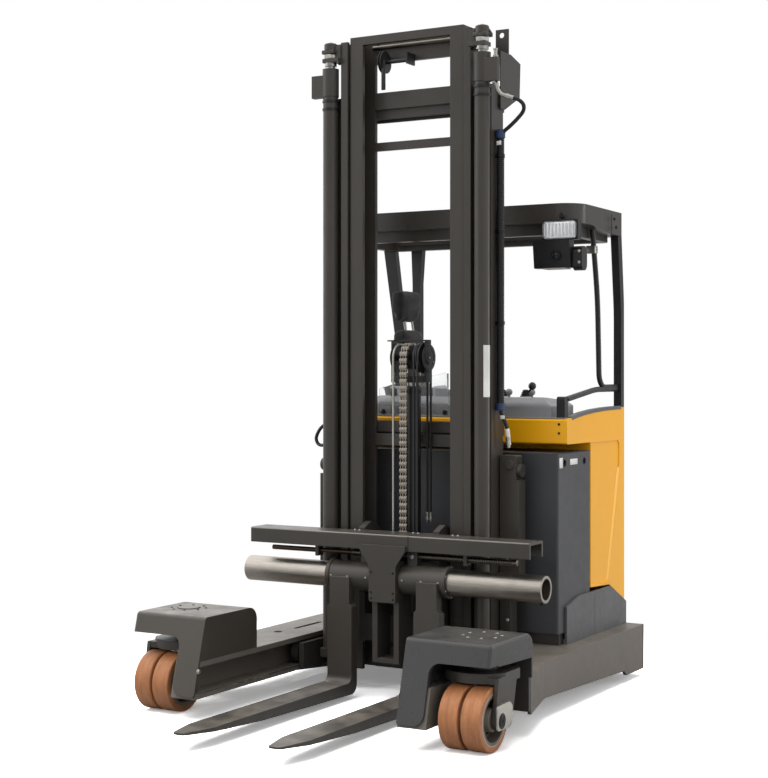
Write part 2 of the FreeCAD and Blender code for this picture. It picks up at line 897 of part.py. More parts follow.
def panel_outline():
    """The (y, z) outline of the field that is pressed into a side panel, ending at the rear crease."""
    return [(body_front_y + panel_front_in, panel_low_z), (crease_low_y, panel_low_z, panel_corner_r),
            (crease_middle_y, crease_middle_z, crease_curve), (crease_high_y, crease_high_z,
                                                               crease_curve / 3),
            (crease_high_y, panel_top_z, panel_corner_r), (body_front_y + panel_front_in, panel_top_z)]


def body_shell():
    """Pressed shell: side panels, front cowl, battery wall and a rear wall with the doorway."""
    shell = slab_x(body_side_outline(0.0), body_left_x, body_right_x)
    inner_left_x = body_left_x + sheet
    inner_right_x = body_right_x - sheet
    inner_rear_y = chassis_rear_y - sheet
    hollow = slab_x(body_side_outline(sheet), inner_left_x, inner_right_x)
    top = block(inner_left_x, inner_right_x, cowl_front_y + sheet, inner_rear_y,
                cowl_top_z - 2 * sheet, body_rear_z + 1)
    bottom = block(inner_left_x, inner_right_x, body_front_y + sheet, inner_rear_y,
                   body_low_rear_z - 1, body_open_z)
    doorway = block(doorway_low_x, doorway_high_x, inner_rear_y - 1, chassis_rear_y + 1,
                    cab_floor_z, body_rear_z + 1)
    shell = shell.cut(hollow).cut(top).cut(bottom).cut(doorway)
    for recess in body_pair(slab_x(panel_outline(), body_right_x - panel_recess, body_right_x + 1)):
        shell = shell.cut(recess)
    return shell


def skirts():
    """Two grey fairings along each side, split behind the battery, and an apron below the rear wall."""
    front_end = skirt_split_y - body_gap
    rear_end = chassis_rear_y - skirt_rear_in
    front = slab_x([(skirt_front_y, skirt_bottom_z), (front_end, skirt_bottom_z), (front_end, skirt_top_z),
                    (skirt_rise_y, skirt_top_z, skirt_rise_curve), (skirt_front_y, skirt_front_z)],
                   body_right_x, body_right_x + skirt_out)
    rear = slab_x([(skirt_split_y, skirt_bottom_z), (rear_end, skirt_bottom_z), (rear_end, skirt_rear_z),
                   (skirt_bend_y, skirt_top_z), (skirt_split_y, skirt_top_z)],
                  body_right_x, body_right_x + skirt_out)
    fairings = []
    for panel, low_y, high_y in ((front, skirt_front_y, front_end), (rear, skirt_split_y, rear_end)):
        foot = block(body_right_x - skirt_foot_in, body_right_x + skirt_out, low_y, high_y,
                     deck_top_z, skirt_bottom_z)
        fairings += body_pair(fused([panel, foot]))
    fairings.append(block(body_left_x + apron_in, body_right_x - apron_in, chassis_rear_y - sheet,
                          chassis_rear_y,
                          deck_top_z, body_low_rear_z))
    return Part.makeCompound(fairings)


def seat_base():
    """Hollow seat box that covers the drive motor."""
    low_x = drive_x - motor_r - seat_box_back
    outer = block(low_x, seat_box_front_x, seat_low_y, seat_high_y, cab_floor_z, seat_pan_z)
    inner = block(low_x + seat_box_wall, seat_box_front_x - seat_box_wall, seat_low_y + seat_box_wall,
                  seat_high_y - seat_box_wall, cab_floor_z - 1, seat_pan_z - seat_box_wall)
    return outer.cut(inner)


def seat_cushion():
    """Seat cushion, facing the side of the truck."""
    low_z = seat_pan_z + seat_clearance
    top_z = seat_pan_z + cushion_thick
    return slab_y([(seat_back_x, low_z, 20.0), (seat_front_x, low_z, 30.0),
                   (seat_front_x, top_z + cushion_nose, 45.0), (seat_back_x + cushion_nose_length, top_z),
                   (seat_back_x, top_z, 20.0)], seat_low_y, seat_high_y)


def seat_backrest():
    """Tall backrest, leaning back a little and narrower at the shoulders."""
    foot_x = seat_back_x + backrest_foot
    side = slab_y([(foot_x, backrest_bottom_z, 20.0), (foot_x - backrest_thick, backrest_bottom_z, 20.0),
                   (foot_x - backrest_thick - backrest_lean, backrest_top_z, 35.0),
                   (foot_x - backrest_lean, backrest_top_z, 30.0)], seat_low_y, seat_high_y)
    shoulder_z = backrest_top_z - shoulder_drop
    view = slab_x([(seat_low_y, backrest_bottom_z), (seat_high_y, backrest_bottom_z),
                   (seat_high_y, shoulder_z), (seat_centre_y + shoulder_half, backrest_top_z, 40.0),
                   (seat_centre_y - shoulder_half, backrest_top_z, 40.0), (seat_low_y, shoulder_z)],
                  foot_x - backrest_thick - backrest_lean, foot_x)
    return side.common(view)


def seat_headrest():
    """Headrest pad on its wide neck."""
    centre_x = seat_back_x + backrest_foot - backrest_lean - backrest_thick / 2
    pad_z = backrest_top_z + headrest_gap
    half = headrest_depth / 2
    pad = slab_y([(centre_x + half, pad_z, headrest_corner_r), (centre_x - half, pad_z, headrest_corner_r),
                  (centre_x - half, pad_z + headrest_height, headrest_corner_r),
                  (centre_x + half, pad_z + headrest_height, headrest_corner_r)],
                 seat_centre_y - headrest_half_width, seat_centre_y + headrest_half_width)
    neck_half = headrest_neck / 2
    neck_reach = shoulder_half - headrest_neck_in
    neck = block(centre_x - neck_half / 2, centre_x + neck_half / 2, seat_centre_y - neck_reach,
                 seat_centre_y + neck_reach, backrest_top_z + seat_clearance, pad_z + 1)
    collar = block(centre_x - neck_half, centre_x + neck_half, seat_centre_y - shoulder_half,
                   seat_centre_y + shoulder_half, backrest_top_z + collar_gap, pad_z - collar_gap)
    return fused([pad, neck, collar])


def seat_armrest():
    """Armrest that stands out from the backrest's front face, on the mast side."""
    def face_x(z):
        share = (z - backrest_bottom_z) / (backrest_top_z - backrest_bottom_z)
        return seat_back_x + backrest_foot - backrest_lean * share + seat_clearance

    top_z = armrest_z + armrest_thick
    return slab_y([(face_x(armrest_z), armrest_z), (seat_front_x + armrest_reach, armrest_z, 15.0),
                   (seat_front_x + armrest_reach, top_z, 15.0), (face_x(top_z), top_z)],
                  seat_low_y, seat_low_y + armrest_width)


def dash():
    """Console on the cowl: low deck, moulded hood with a sloping right end, steering knob and levers."""
    low_z = cowl_bottom_z + sheet
    left_x = body_left_x + sheet
    right_x = body_right_x - sheet
    rear_y = cowl_front_y + dash_depth
    deck = slab_x([(cowl_front_y + sheet, low_z, cowl_corner_r),
                   (cowl_front_y + sheet, cowl_top_z + dash_lip_rise),
                   (cowl_front_y + dash_lip, cowl_top_z + dash_lip_rise), (cowl_front_y + dash_lip,
                                                                           dash_deck_z),
                   (rear_y, dash_deck_z), (rear_y, low_z)], left_x, right_x)
    hood = slab_x([(cowl_front_y + hood_front_in, dash_deck_z - 1),
                   (cowl_front_y + hood_front_in, hood_front_z, 30.0),
                   (cowl_front_y + hood_crown_in, dash_top_z, 40.0), (rear_y, dash_top_z - hood_rear_drop,
                                                                      25.0),
                   (rear_y, dash_deck_z - 1)], left_x, hood_end_x)
    hood_view = slab_y([(left_x, dash_deck_z - 1), (hood_end_x, dash_deck_z - 1),
                        (hood_end_x, hood_end_z, 8.0),
                        (hood_shoulder_x, dash_top_z, 20.0), (left_x, dash_top_z)], cowl_front_y, rear_y)
    parts = [deck, hood.common(hood_view)]
    y = cowl_front_y + control_in
    base_z = dash_top_z - hood_rear_drop - 2
    knob_top_z = base_z + steer_knob_height
    parts.append(rod_z(base_z, knob_top_z, steer_knob_x, y, steer_knob_r))
    parts.append(rod_z(knob_top_z - 1, knob_top_z + spinner_out, steer_knob_x + spinner_out, y, spinner_r))
    for x in lever_places:
        parts.append(rod_z(base_z, lever_ball_z, x, y, lever_r))
        parts.append(Part.makeSphere(lever_ball_r, V(x, y, lever_ball_z)))
    return fused(parts)


# ================================================================ overhead guard
def roof_plan(in_x, in_y, front_corner_r, rear_corner_r):
    """The roof's plan, drawn in by in_x and in_y: rounded corners, a little narrower at the rear."""
    front_half = roof_front_half - in_x
    rear_half = roof_rear_half - in_x
    front_y = roof_front_y + in_y
    rear_y = roof_rear_y - in_y
    return [(-front_half, front_y, front_corner_r), (front_half, front_y, front_corner_r),
            (rear_half, rear_y, rear_corner_r), (-rear_half, rear_y, rear_corner_r)]


def roof():
    """Roof: rim with a deep fascia, cross bars, and the inner beam that hangs below."""
    step_z = roof_low_z + fascia_step
    rim = slab_z(roof_plan(0.0, 0.0, roof_front_corner_r, roof_rear_corner_r), roof_low_z, roof_top_z)
    rim = rim.cut(slab_z(roof_plan(roof_rim, roof_rim, roof_front_corner_r / 2, roof_rear_corner_r / 2),
                         roof_low_z - 1, roof_top_z + 1))
    rim = rim.cut(slab_x([(roof_front_y - 1, roof_low_z - 1), (fascia_slope_rear_y, roof_low_z - 1),
                          (fascia_slope_rear_y, roof_low_z), (fascia_slope_front_y, step_z),
                          (roof_front_y - 1, step_z)], -roof_front_half - 1, roof_front_half + 1))
    parts = [rim]
    half = roof_rear_half - roof_rim
    pitch = 2 * half / (roof_bars + 1)
    bar_top_z = roof_top_z - roof_bar_drop
    for i in range(roof_bars):
        x = -half + pitch * (i + 1)
        parts.append(block(x - roof_bar_width / 2, x + roof_bar_width / 2, roof_front_y + roof_rim - 5,
                           roof_rear_y - roof_rim + 5, bar_top_z - roof_bar_thick, bar_top_z))
    beam = slab_z(roof_plan(inner_beam_in_x, inner_beam_in_y, inner_beam_corner_r, inner_beam_corner_r),
                  inner_beam_z, step_z + 5)
    hole = slab_z(roof_plan(inner_beam_in_x + inner_beam_width, inner_beam_in_y + inner_beam_width,
                            inner_beam_corner_r / 2, inner_beam_corner_r / 2), inner_beam_z - 1, step_z + 6)
    parts.append(beam.cut(hole))
    return fused(parts)


def rear_pillars():
    """Slim pillar at the right rear, and two posts at the left rear that draw together going down."""
    top_z = roof_low_z + 1
    rear_y = chassis_rear_y - pillar_rear_gap
    front_y = rear_y - pillar_depth
    top_rear_y = rear_y - pillar_top_forward + 5
    right = slab_x([(front_y, body_rear_z), (rear_y, body_rear_z), (rear_y, pillar_bend_z, pillar_curve),
                    (top_rear_y, top_z), (top_rear_y - pillar_top_depth, top_z),
                    (front_y, pillar_bend_z - 50, pillar_curve)], body_right_x - pillar_width, body_right_x)
    tang = block(body_right_x - pillar_width, body_right_x - sheet, front_y, chassis_rear_y - sheet,
                 pillar_low_z, body_rear_z + 1)
    post_rear_y = chassis_rear_y - post_rear_in
    foot_rear_y = chassis_rear_y - sheet
    outer = slab_y([(outer_post_foot_x, pillar_low_z), (outer_post_foot_x + outer_post_foot, pillar_low_z),
                    (outer_post_foot_x + outer_post_foot, body_rear_z), (outer_post_top_x + outer_post_top,
                                                                         top_z),
                    (outer_post_top_x, top_z), (outer_post_foot_x, body_rear_z)],
                   post_rear_y - post_depth, post_rear_y)
    inner = slab_y([(inner_post_foot_x, pillar_low_z), (inner_post_foot_x + inner_post_foot, pillar_low_z),
                    (inner_post_foot_x + inner_post_foot, inner_post_flare_z),
                    (inner_post_top_x + inner_post_top, top_z), (inner_post_top_x, top_z),
                    (inner_post_foot_x, inner_post_flare_z)], post_rear_y - post_depth, post_rear_y)
    foot = block(outer_post_foot_x, inner_post_foot_x + inner_post_foot, post_rear_y - 1, foot_rear_y,
                 pillar_low_z, body_rear_z - sheet)
    guard = roof()
    return Part.makeCompound([fused([right.cut(guard), tang]),
                              fused([outer.cut(guard), inner.cut(guard), foot])])


def hand_rails():
    """Thin bent rail from the roof, a grab bar to the right pillar, and the bar's stanchion."""
    pillar_y = chassis_rear_y - pillar_rear_gap - pillar_depth
    long_rail = bent_bar([(rail_x, rail_top_y - 12, roof_low_z + fascia_step),
                          (rail_x, rail_bend_y, rail_bend_z),
                          (rail_x, rail_low_y, rail_low_z), (rail_x, pillar_y, rail_low_z)],
                         rail_r, [rail_bend_r, rail_elbow_r]).cut(roof())
    low_y = cowl_front_y + stanchion_in
    stanchion = slab_x([(low_y, dash_deck_z + seat_clearance),
                        (low_y + stanchion_depth, dash_deck_z + seat_clearance),
                        (low_y + stanchion_depth, stanchion_top_z, stanchion_corner_r),
                        (low_y,
                         stanchion_top_z, stanchion_corner_r)], stanchion_x, stanchion_x + stanchion_width)
    grab_bar = bent_bar([(rail_x, low_y + stanchion_depth - 2, grab_front_z),
                         (rail_x, grab_bend_y, grab_rear_z),
                         (rail_x, pillar_y, grab_rear_z)], grab_bar_r, [grab_curve])
    return fused([long_rail, grab_bar, stanchion])


def work_lamp():
    """Rectangular work lamp under the roof's front corner, with a tilted camera and its pod below."""
    high_x = lamp_low_x + lamp_width
    top_z = lamp_low_z + lamp_height
    face_y = lamp_front_y + lens_depth
    rear_y = face_y + lamp_depth
    body = slab_x([(face_y, lamp_low_z), (rear_y, lamp_low_z, lamp_corner_r), (rear_y, top_z, lamp_corner_r),
                   (face_y, top_z)], lamp_low_x, high_x)
    middle_x = lamp_low_x + lamp_width / 2
    under_z = roof_low_z + fascia_step - seat_clearance
    arm = block(middle_x - lamp_arm_width / 2, middle_x + lamp_arm_width / 2, rear_y - lamp_corner_r,
                roof_front_y + inner_beam_in_y - seat_clearance, under_z - lamp_arm_drop, under_z)
    camera_high_x = camera_low_x + camera_width
    camera_low_z = lamp_low_z - camera_height
    camera = slab_x([(face_y, lamp_low_z + 4), (face_y + camera_depth, lamp_low_z + 4),
                     (face_y + camera_depth + camera_lean, camera_low_z, 6.0),
                     (face_y + camera_lean, camera_low_z, 6.0)], camera_low_x, camera_high_x)
    pod_x = camera_high_x + pod_gap
    pod_top_z = pod_low_z + pod_height
    pod_rear_y = pod_front_y + pod_depth
    round_r = pod_depth / 2 - 1
    pod = slab_x([(pod_front_y, pod_low_z, round_r), (pod_rear_y, pod_low_z, round_r),
                  (pod_rear_y, pod_top_z, round_r), (pod_front_y, pod_top_z,
                                                     round_r)], pod_x, pod_x + pod_width)
    link = block(camera_high_x - 1, pod_x + 1, pod_front_y + 8, pod_front_y + 26, pod_low_z + 40,
                 pod_top_z - 30)
    return fused([body, arm, camera, pod, link])


def lamp_lens():
    """Clear lens on the front of the work lamp."""
    return block(lamp_low_x + lens_rim, lamp_low_x + lamp_width - lens_rim, lamp_front_y,
                 lamp_front_y + lens_depth, lamp_low_z + lens_rim, lamp_low_z + lamp_height - lens_rim)


# ================================================================ steered load wheels
def turntable():
    """Slewing disc under the cover, with the arm that runs down the outside to the axle."""
    low_z = turntable_top_z - turntable_thick
    disc = rod_z(low_z, turntable_top_z, steer_x, steer_y, turntable_r)
    disc = disc.common(block(steer_x - turntable_r - 1, arm_outer_x, steer_y - turntable_r - 1,
                             steer_y + turntable_r + 1, low_z, turntable_top_z))
    post = rod_z(turntable_top_z - 1, cover_top_z - cover_plate - seat_clearance, steer_x, steer_y,
                 turntable_post_r)
    arm = slab_x([(steer_y - arm_front, arm_top_z), (steer_y + arm_rear, arm_top_z),
                  (steer_y + arm_waist_rear, arm_waist_z), (load_axle_y + axle_cap_rear, arm_foot_z, 25.0),
                  (load_axle_y - axle_cap_front, arm_foot_z, 30.0)], arm_inner_x, arm_outer_x)
    gusset = block(steer_x, arm_outer_x, steer_y - arm_front, steer_y + arm_rear, low_z, arm_top_z)
    cap = slab_x([(load_axle_y - axle_cap_front, arm_foot_z, axle_cap_corner),
                  (load_axle_y + axle_cap_rear, arm_foot_z, axle_cap_corner),
                  (load_axle_y + axle_cap_rear, axle_cap_high_z, axle_cap_corner),
                  (load_axle_y - axle_cap_front, axle_cap_high_z, axle_cap_corner)],
                 arm_outer_x - 1, arm_outer_x + axle_cap - axle_boss_in)
    boss = rod_x(arm_outer_x, arm_outer_x + axle_cap, load_axle_y, load_wheel_r, axle_boss_r)
    stub = rod_x(load_wheel_x - load_wheel_half, arm_inner_x + 1, load_axle_y, load_wheel_r, axle_r)
    return fused([disc, post, arm, gusset, cap, boss, stub])


def load_wheel_tyres():
    """Two polyurethane treads on one hub."""
    parts = []
    for side in (-1, 1):
        centre = load_wheel_x + side * (tyre_width + tyre_gap) / 2
        tread = ring_x(centre - tyre_width / 2, centre + tyre_width / 2, load_axle_y, load_wheel_r,
                       load_wheel_r, rim_r)
        rims = [e for e in tread.Edges
                if isinstance(e.Curve, Part.Circle) and abs(e.Curve.Radius - load_wheel_r) < 1e-6]
        parts.append(tread.makeFillet(tyre_edge_r, rims))
    return Part.makeCompound(parts)


def load_wheel_hub():
    """Steel hub through both treads, dished at each face, running on the axle stub."""
    y = load_axle_y
    z = load_wheel_r
    low_x = load_wheel_x - load_wheel_half
    high_x = load_wheel_x + load_wheel_half
    hub = rod_x(low_x, high_x, y, z, rim_r)
    for side in (-1, 1):
        face = load_wheel_x + side * load_wheel_half
        dish = rod((face + side, y, z), (face - side * hub_dish, y, z), rim_r - rim_wall)
        boss = rod((face - side * (hub_dish + 1), y, z), (face - side * hub_boss_back, y, z), hub_boss_r)
        hub = hub.cut(dish.cut(boss))
    return hub.cut(rod_x(low_x - 1, high_x + 1, y, z, axle_r + running_fit))


# ================================================================ drive unit
def drive_turret():
    """Slewing plate, neck and gear leg of the drive wheel, with its axle."""
    low_z = 2 * drive_wheel_r + turret_rise
    disc = rod_z(low_z, bridge_z - seat_clearance, drive_x, drive_axle_y, turret_r)
    leg_x = drive_x + drive_wheel_width / 2 + turret_leg_gap
    leg = slab_x([(drive_axle_y - turret_leg_half, drive_wheel_r - turret_leg_half, 50.0),
                  (drive_axle_y + turret_leg_half, drive_wheel_r - turret_leg_half, 50.0),
                  (drive_axle_y + turret_leg_half, low_z + 5), (drive_axle_y - turret_leg_half, low_z + 5)],
                 leg_x, leg_x + turret_leg)
    axle = rod_x(drive_x - drive_wheel_width / 2, leg_x + 1, drive_axle_y, drive_wheel_r, drive_axle_r)
    neck = rod_z(low_z + 5, cab_floor_z - 3, drive_x, drive_axle_y, turret_neck_r)
    return fused([disc, leg, axle, neck])


def drive_wheel_tyre():
    """Tread of the drive wheel."""
    half = drive_wheel_width / 2
    return ring_x(drive_x - half, drive_x + half, drive_axle_y, drive_wheel_r, drive_wheel_r,
                  drive_wheel_r - drive_tread)


def drive_wheel_hub():
    """Cast hub of the drive wheel on its axle."""
    half = drive_wheel_width / 2
    return ring_x(drive_x - half, drive_x + half, drive_axle_y, drive_wheel_r, drive_wheel_r - drive_tread,
                  drive_axle_r + running_fit)


def drive_motor():
    """Traction motor: a heavy plain block above the turret, inside the seat box."""
    low_z = cab_floor_z - 3 + seat_clearance
    flange = rod_z(low_z, low_z + 20, drive_x, drive_axle_y, motor_r + motor_flange - seat_clearance)
    can = rod_z(low_z + 20, low_z + motor_height, drive_x, drive_axle_y, motor_r)
    return fused([flange, can])


# ================================================================ reach carriage
def reach_base():
    """Welded cross frame between the legs: carries the towers and runs on four rollers in the rails."""
    plate_x = leg_inner_x - rail_gap
    front_y = roller_front_y - roller_front
    parts = [block(-plate_x, plate_x, base_rear_y - base_plate, base_rear_y, carriage_bottom_z,
                   carriage_top_z)]
    cheek = block(plate_x - base_cheek, plate_x, front_y, base_rear_y, carriage_bottom_z + base_cheek_rise,
                  carriage_top_z)
    step = block(tower_inner_x, tower_slim_x, tower_front_y, base_rear_y, carriage_top_z - roller_front,
                 deck_top_z + tower_lift)
    centre_z = (leg_bottom_z + deck_top_z) / 2
    radius = (deck_top_z - leg_bottom_z) / 2 - rail_flange - roller_play
    inner_x = leg_inner_x + 8
    sides = [cheek, step]
    for y in roller_places:
        sides.append(rod_x(inner_x, inner_x + roller_width, y, centre_z, radius))
        sides.append(rod_x(plate_x - 1, inner_x + 1, y, centre_z, roller_stub_r))
    for shape in sides:
        parts += [shape, mirrored(shape)]
    return fused(parts)


def reach_tower():
    """Upright post beside the mast: slim between the covers, wider above, square head with the tilt pin."""
    rear_y = tower_front_y + tower_depth
    post = slab_y([(tower_inner_x, deck_top_z + tower_lift), (tower_slim_x, deck_top_z + tower_lift),
                   (tower_slim_x, tower_slim_z), (tower_outer_x, tower_shoulder_z),
                   (tower_outer_x, tower_step_z), (tower_head_x, tower_step_z), (tower_head_x, tower_top_z,
                                                                                 6.0),
                   (tower_inner_x, tower_top_z, 6.0)], tower_front_y, rear_y)
    boss = rod_y(tower_front_y - tower_boss_out, tower_front_y + 1, tower_boss_x, tower_boss_z, tower_boss_r)
    eye = rod_x(tower_inner_x - 1, tower_head_x + 1, tilt_pin_y, tilt_pin_z, tilt_pin_r + running_fit)
    return fused([post, boss]).cut(eye)


def reach_barrel():
    """Reach cylinder barrel, held in the bulkhead and running back under the cab."""
    start = battery_front_y - plate
    end = start + reach_travel + reach_barrel_spare
    barrel = rod_y(start, end, reach_cylinder_x, reach_cylinder_z, reach_barrel_r)
    bore = rod_y(start - 1, end - reach_barrel_wall, reach_cylinder_x, reach_cylinder_z,
                 reach_rod_r + rod_play)
    strap = block(reach_cylinder_x - reach_strap / 2, reach_cylinder_x + reach_strap / 2,
                  end - reach_barrel_wall - reach_strap, end - reach_barrel_wall,
                  reach_cylinder_z + reach_barrel_r - 4, deck_top_z - plate)
    return fused([barrel, strap]).cut(bore)


def reach_rod():
    """Reach cylinder rod, fixed to the cross frame."""
    end = battery_front_y - plate + reach_travel + reach_rod_spare
    return rod_y(base_rear_y, end, reach_cylinder_x, reach_cylinder_z, reach_rod_r)


# ================================================================ mast
def stage_roller(web_x, cavity_x, front_y, rear_y, z):
    """Roller on a stage's web, running between the flanges of the next channel out."""
    y = (front_y + rear_y) / 2
    radius = (rear_y - front_y) / 2 - channel_flange - roller_play
    stub = rod_x(web_x - 1, cavity_x + 2, y, z, roller_stub_r)
    return fused([stub, rod_x(cavity_x + 1, cavity_x + 1 + stage_roller_width, y, z, radius)])


def outer_uprights():
    """Outer stage: two upright channels, each with its tilt pin through the tower's head."""
    upright = channel(outer_web_x, outer_flange_x, outer_flange_x, outer_front_y, mast_rear_y, mast_foot_z,
                      outer_top_z)
    pin = rod_x(outer_web_x - 1, tower_head_x + pin_head, tilt_pin_y, tilt_pin_z, tilt_pin_r)
    head = rod_x(tower_head_x + seat_clearance, tower_head_x + pin_head, tilt_pin_y, tilt_pin_z, pin_head_r)
    return pair(fused([upright, pin, head]))


def outer_crossbars():
    """Cross members behind the outer channels."""
    top_bar_z = outer_top_z - outer_top_bar_drop
    spans = ((mast_foot_z + 2 * stage_step, mast_foot_z + 2 * stage_step + foot_bar_height),
             (outer_bar_z, outer_bar_z + outer_bar_height), (top_bar_z, top_bar_z + outer_top_bar_height))
    return Part.makeCompound([block(-outer_web_x, outer_web_x, mast_rear_y, mast_rear_y + outer_bar, low,
                                    high)
                              for low, high in spans])


def hose_guard():
    """Side plate that guards the hoses behind the right upright's head, with the hanger plate on it."""
    plate_side = slab_x([(guard_front_y, guard_low_z), (guard_heel_y, guard_low_z),
                         (guard_rear_y - 8, guard_heel_z),
                         (guard_rear_y, guard_nose_z), (guard_nose_y, guard_top_z), (guard_front_y,
                                                                                     guard_top_z)],
                        guard_x, guard_x + guard_thick)
    spacer = block(outer_web_x, guard_x + 1, guard_front_y + 6, mast_rear_y - 8, guard_low_z + 20,
                   outer_top_z - 20)
    hanger = block(hanger_plate_x, guard_x + guard_thick, hanger_plate_y, hanger_plate_y + hanger_plate_thick,
                   hanger_plate_z, hanger_plate_top_z)
    hole_x = (hanger_plate_x + guard_x) / 2
    hole = rod_y(hanger_plate_y - 1, hanger_plate_y + hanger_plate_thick + 1, hole_x, hanger_hole_z,
                 hanger_hole_r)
    return fused([plate_side, spacer, hanger.cut(hole)])


def lift_barrels():
    """Two lift cylinder barrels with glands and port blocks, one in front of each outer channel."""
    x = lift_cylinder_x
    y = lift_cylinder_y
    gland_z = lift_barrel_top_z - lift_gland_length
    strap_z = outer_top_z - 2 * strap_height
    parts = [rod_z(lift_foot_z, gland_z, x, y, lift_barrel_r),
             rod_z(gland_z, lift_barrel_top_z, x, y, lift_gland_r),
             block(x - lift_barrel_r, x + lift_barrel_r, y - lift_barrel_r, outer_front_y,
                   lift_foot_z - lift_foot_height, lift_foot_z),
             block(x - 20, x + 20, y, outer_front_y, strap_z, strap_z + strap_height)]
    port_y = y - lift_barrel_r + 5
    parts.append(block(x + 20, port_reach_x, port_y, port_y + port_depth, port_low_z,
                       port_low_z + port_height))
    bore = rod_z(lift_foot_z + lift_bottom_wall, lift_barrel_top_z + 1, x, y, lift_rod_r + rod_play)
    return pair(fused(parts).cut(bore))


def middle_uprights():
    """Middle stage: two upright channels, with the brackets at the top that the lift rods push up."""
    x = lift_cylinder_x
    y = lift_cylinder_y
    web_x = middle_web_x - 1
    upright = channel(middle_web_x, middle_flange_x, middle_flange_x, middle_front_y, middle_rear_y,
                      mast_foot_z + stage_step, middle_top_z)
    bracket = block(web_x, x + rod_nut_r, y - rod_nut_r, y + rod_nut_r, rod_bracket_z,
                    rod_bracket_z + rod_bracket_thick)
    gusset = block(web_x, middle_web_x + rod_gusset_width, y - channel_flange / 2, y + channel_flange,
                   rod_bracket_z, rod_gusset_top_z)
    hole = rod_z(rod_bracket_z - 1, rod_bracket_z + rod_bracket_thick + 1, x, y, lift_rod_r + running_fit)
    roller = stage_roller(middle_web_x, outer_flange_x, outer_front_y, mast_rear_y, stage_roller_z)
    return pair(fused([upright, bracket.cut(hole), gusset, roller]))


def middle_crossbars():
    """Cross members of the middle stage, behind the inner one."""
    spans = ((middle_foot_bar_z, middle_foot_bar_height), (middle_bar_z, middle_bar_height),
             (middle_top_bar_z, middle_top_bar_height))
    return Part.makeCompound([block(-middle_flange_x, middle_flange_x, middle_rear_y - middle_bar,
                                    middle_rear_y,
                                    low, low + height) for low, height in spans])


def lift_rods():
    """Lift rods in their barrels, each with a nut below and above the bracket."""
    x = lift_cylinder_x
    y = lift_cylinder_y
    parts = [rod_z(lift_foot_z + 2 * lift_bottom_wall, lift_rod_top_z, x, y, lift_rod_r)]
    for low in (rod_bracket_z - rod_nut_height, rod_bracket_z + rod_bracket_thick):
        parts.append(rod_z(low, low + rod_nut_height, x, y, rod_nut_r))
    return pair(fused(parts))


def inner_uprights():
    """Inner stage: two upright channels, the ones that show in front, with a roller near the foot."""
    upright = channel(inner_web_x, inner_flange_x, inner_rear_flange_x, inner_front_y, inner_rear_y,
                      mast_foot_z + 2 * stage_step, mast_top_z)
    roller = stage_roller(inner_web_x, middle_flange_x, middle_front_y, middle_rear_y, stage_roller_z)
    return pair(fused([upright, roller]))


def inner_bars(low_z, height, thick):
    """A bar between the rear flanges of the inner channels, flush with their rear face."""
    return block(-inner_rear_flange_x, inner_rear_flange_x, inner_rear_y - thick, inner_rear_y, low_z,
                 low_z + height)


def inner_crossbars():
    """Cross members of the inner stage: front bar, head plate with its lip, shelf, and the bars below."""
    front_bar = block(-inner_flange_x, inner_flange_x, inner_front_y, inner_front_y + front_bar_thick,
                      mast_top_z - front_bar_height, mast_top_z)
    lip_z = mast_top_z - head_lip_r
    head = fused([inner_bars(head_plate_z, lip_z - head_plate_z, inner_bar),
                  rod_x(-inner_rear_flange_x, inner_rear_flange_x, inner_rear_y - inner_bar / 2, lip_z,
                        head_lip_r)])
    width = inner_rear_flange_x
    shelf = fused([block(-width, width, shelf_plate_y, shelf_plate_y + shelf_plate_thick, shelf_plate_z,
                         shelf_plate_z + shelf_plate_height),
                   block(-width, width, shelf_plate_y, inner_rear_y, shelf_plate_z - shelf_thick,
                         shelf_plate_z),
                   inner_bars(shelf_lip_z, shelf_plate_z - shelf_lip_z, shelf_lip_thick)])
    parts = [front_bar, head, shelf]
    for low, height in ((third_bar_z, third_bar_height), (anchor_bar_z, anchor_bar_height),
                        (mast_foot_z + 2 * stage_step, foot_bar_height)):
        parts.append(inner_bars(low, height, inner_bar))
    return Part.makeCompound(parts)


def head_pulley():
    """Hose pulley at the mast's head, on an axle held by two ears of the head plate."""
    low_x = head_pulley_x - head_axle_in
    rear_y = inner_rear_y - inner_bar
    half = head_pulley_width / 2
    wheel = rod_x(head_pulley_x - half, head_pulley_x + half, head_pulley_y, head_pulley_z, head_pulley_r)
    groove = ring_x(head_pulley_x - half + 3, head_pulley_x + half - 3, head_pulley_y, head_pulley_z,
                    head_pulley_r + 1, head_pulley_r - 8)
    parts = [wheel.cut(groove), rod_x(low_x, head_axle_end_x, head_pulley_y, head_pulley_z, head_axle_r)]
    for x in (low_x, head_axle_end_x - head_ear):
        parts.append(block(x, x + head_ear, head_pulley_y - 2 * head_axle_r, rear_y,
                           head_pulley_z - 2 * head_axle_r, head_ear_top_z))
    return fused(parts)


def free_lift_barrel():
    """Free-lift cylinder barrel standing on the inner stage's lowest cross member."""
    x = free_lift_x
    y = free_lift_y
    foot_z = mast_foot_z + 2 * stage_step
    barrel_z = foot_z + free_foot_height
    foot = block(x - free_barrel_r, x + free_barrel_r, y - free_barrel_r, inner_rear_y - inner_bar, foot_z,
                 barrel_z)
    barrel = rod_z(barrel_z, free_barrel_top_z, x, y, free_barrel_r)
    bore = rod_z(barrel_z + 20, free_barrel_top_z + 1, x, y, free_rod_r + rod_play)
    return fused([foot, barrel]).cut(bore)


# ================================================================ free-lift crosshead
def yoke_top():
    """The height of the yoke's upper face, just below the sheaves."""
    return sheave_axle_z - sheave_r - yoke_gap


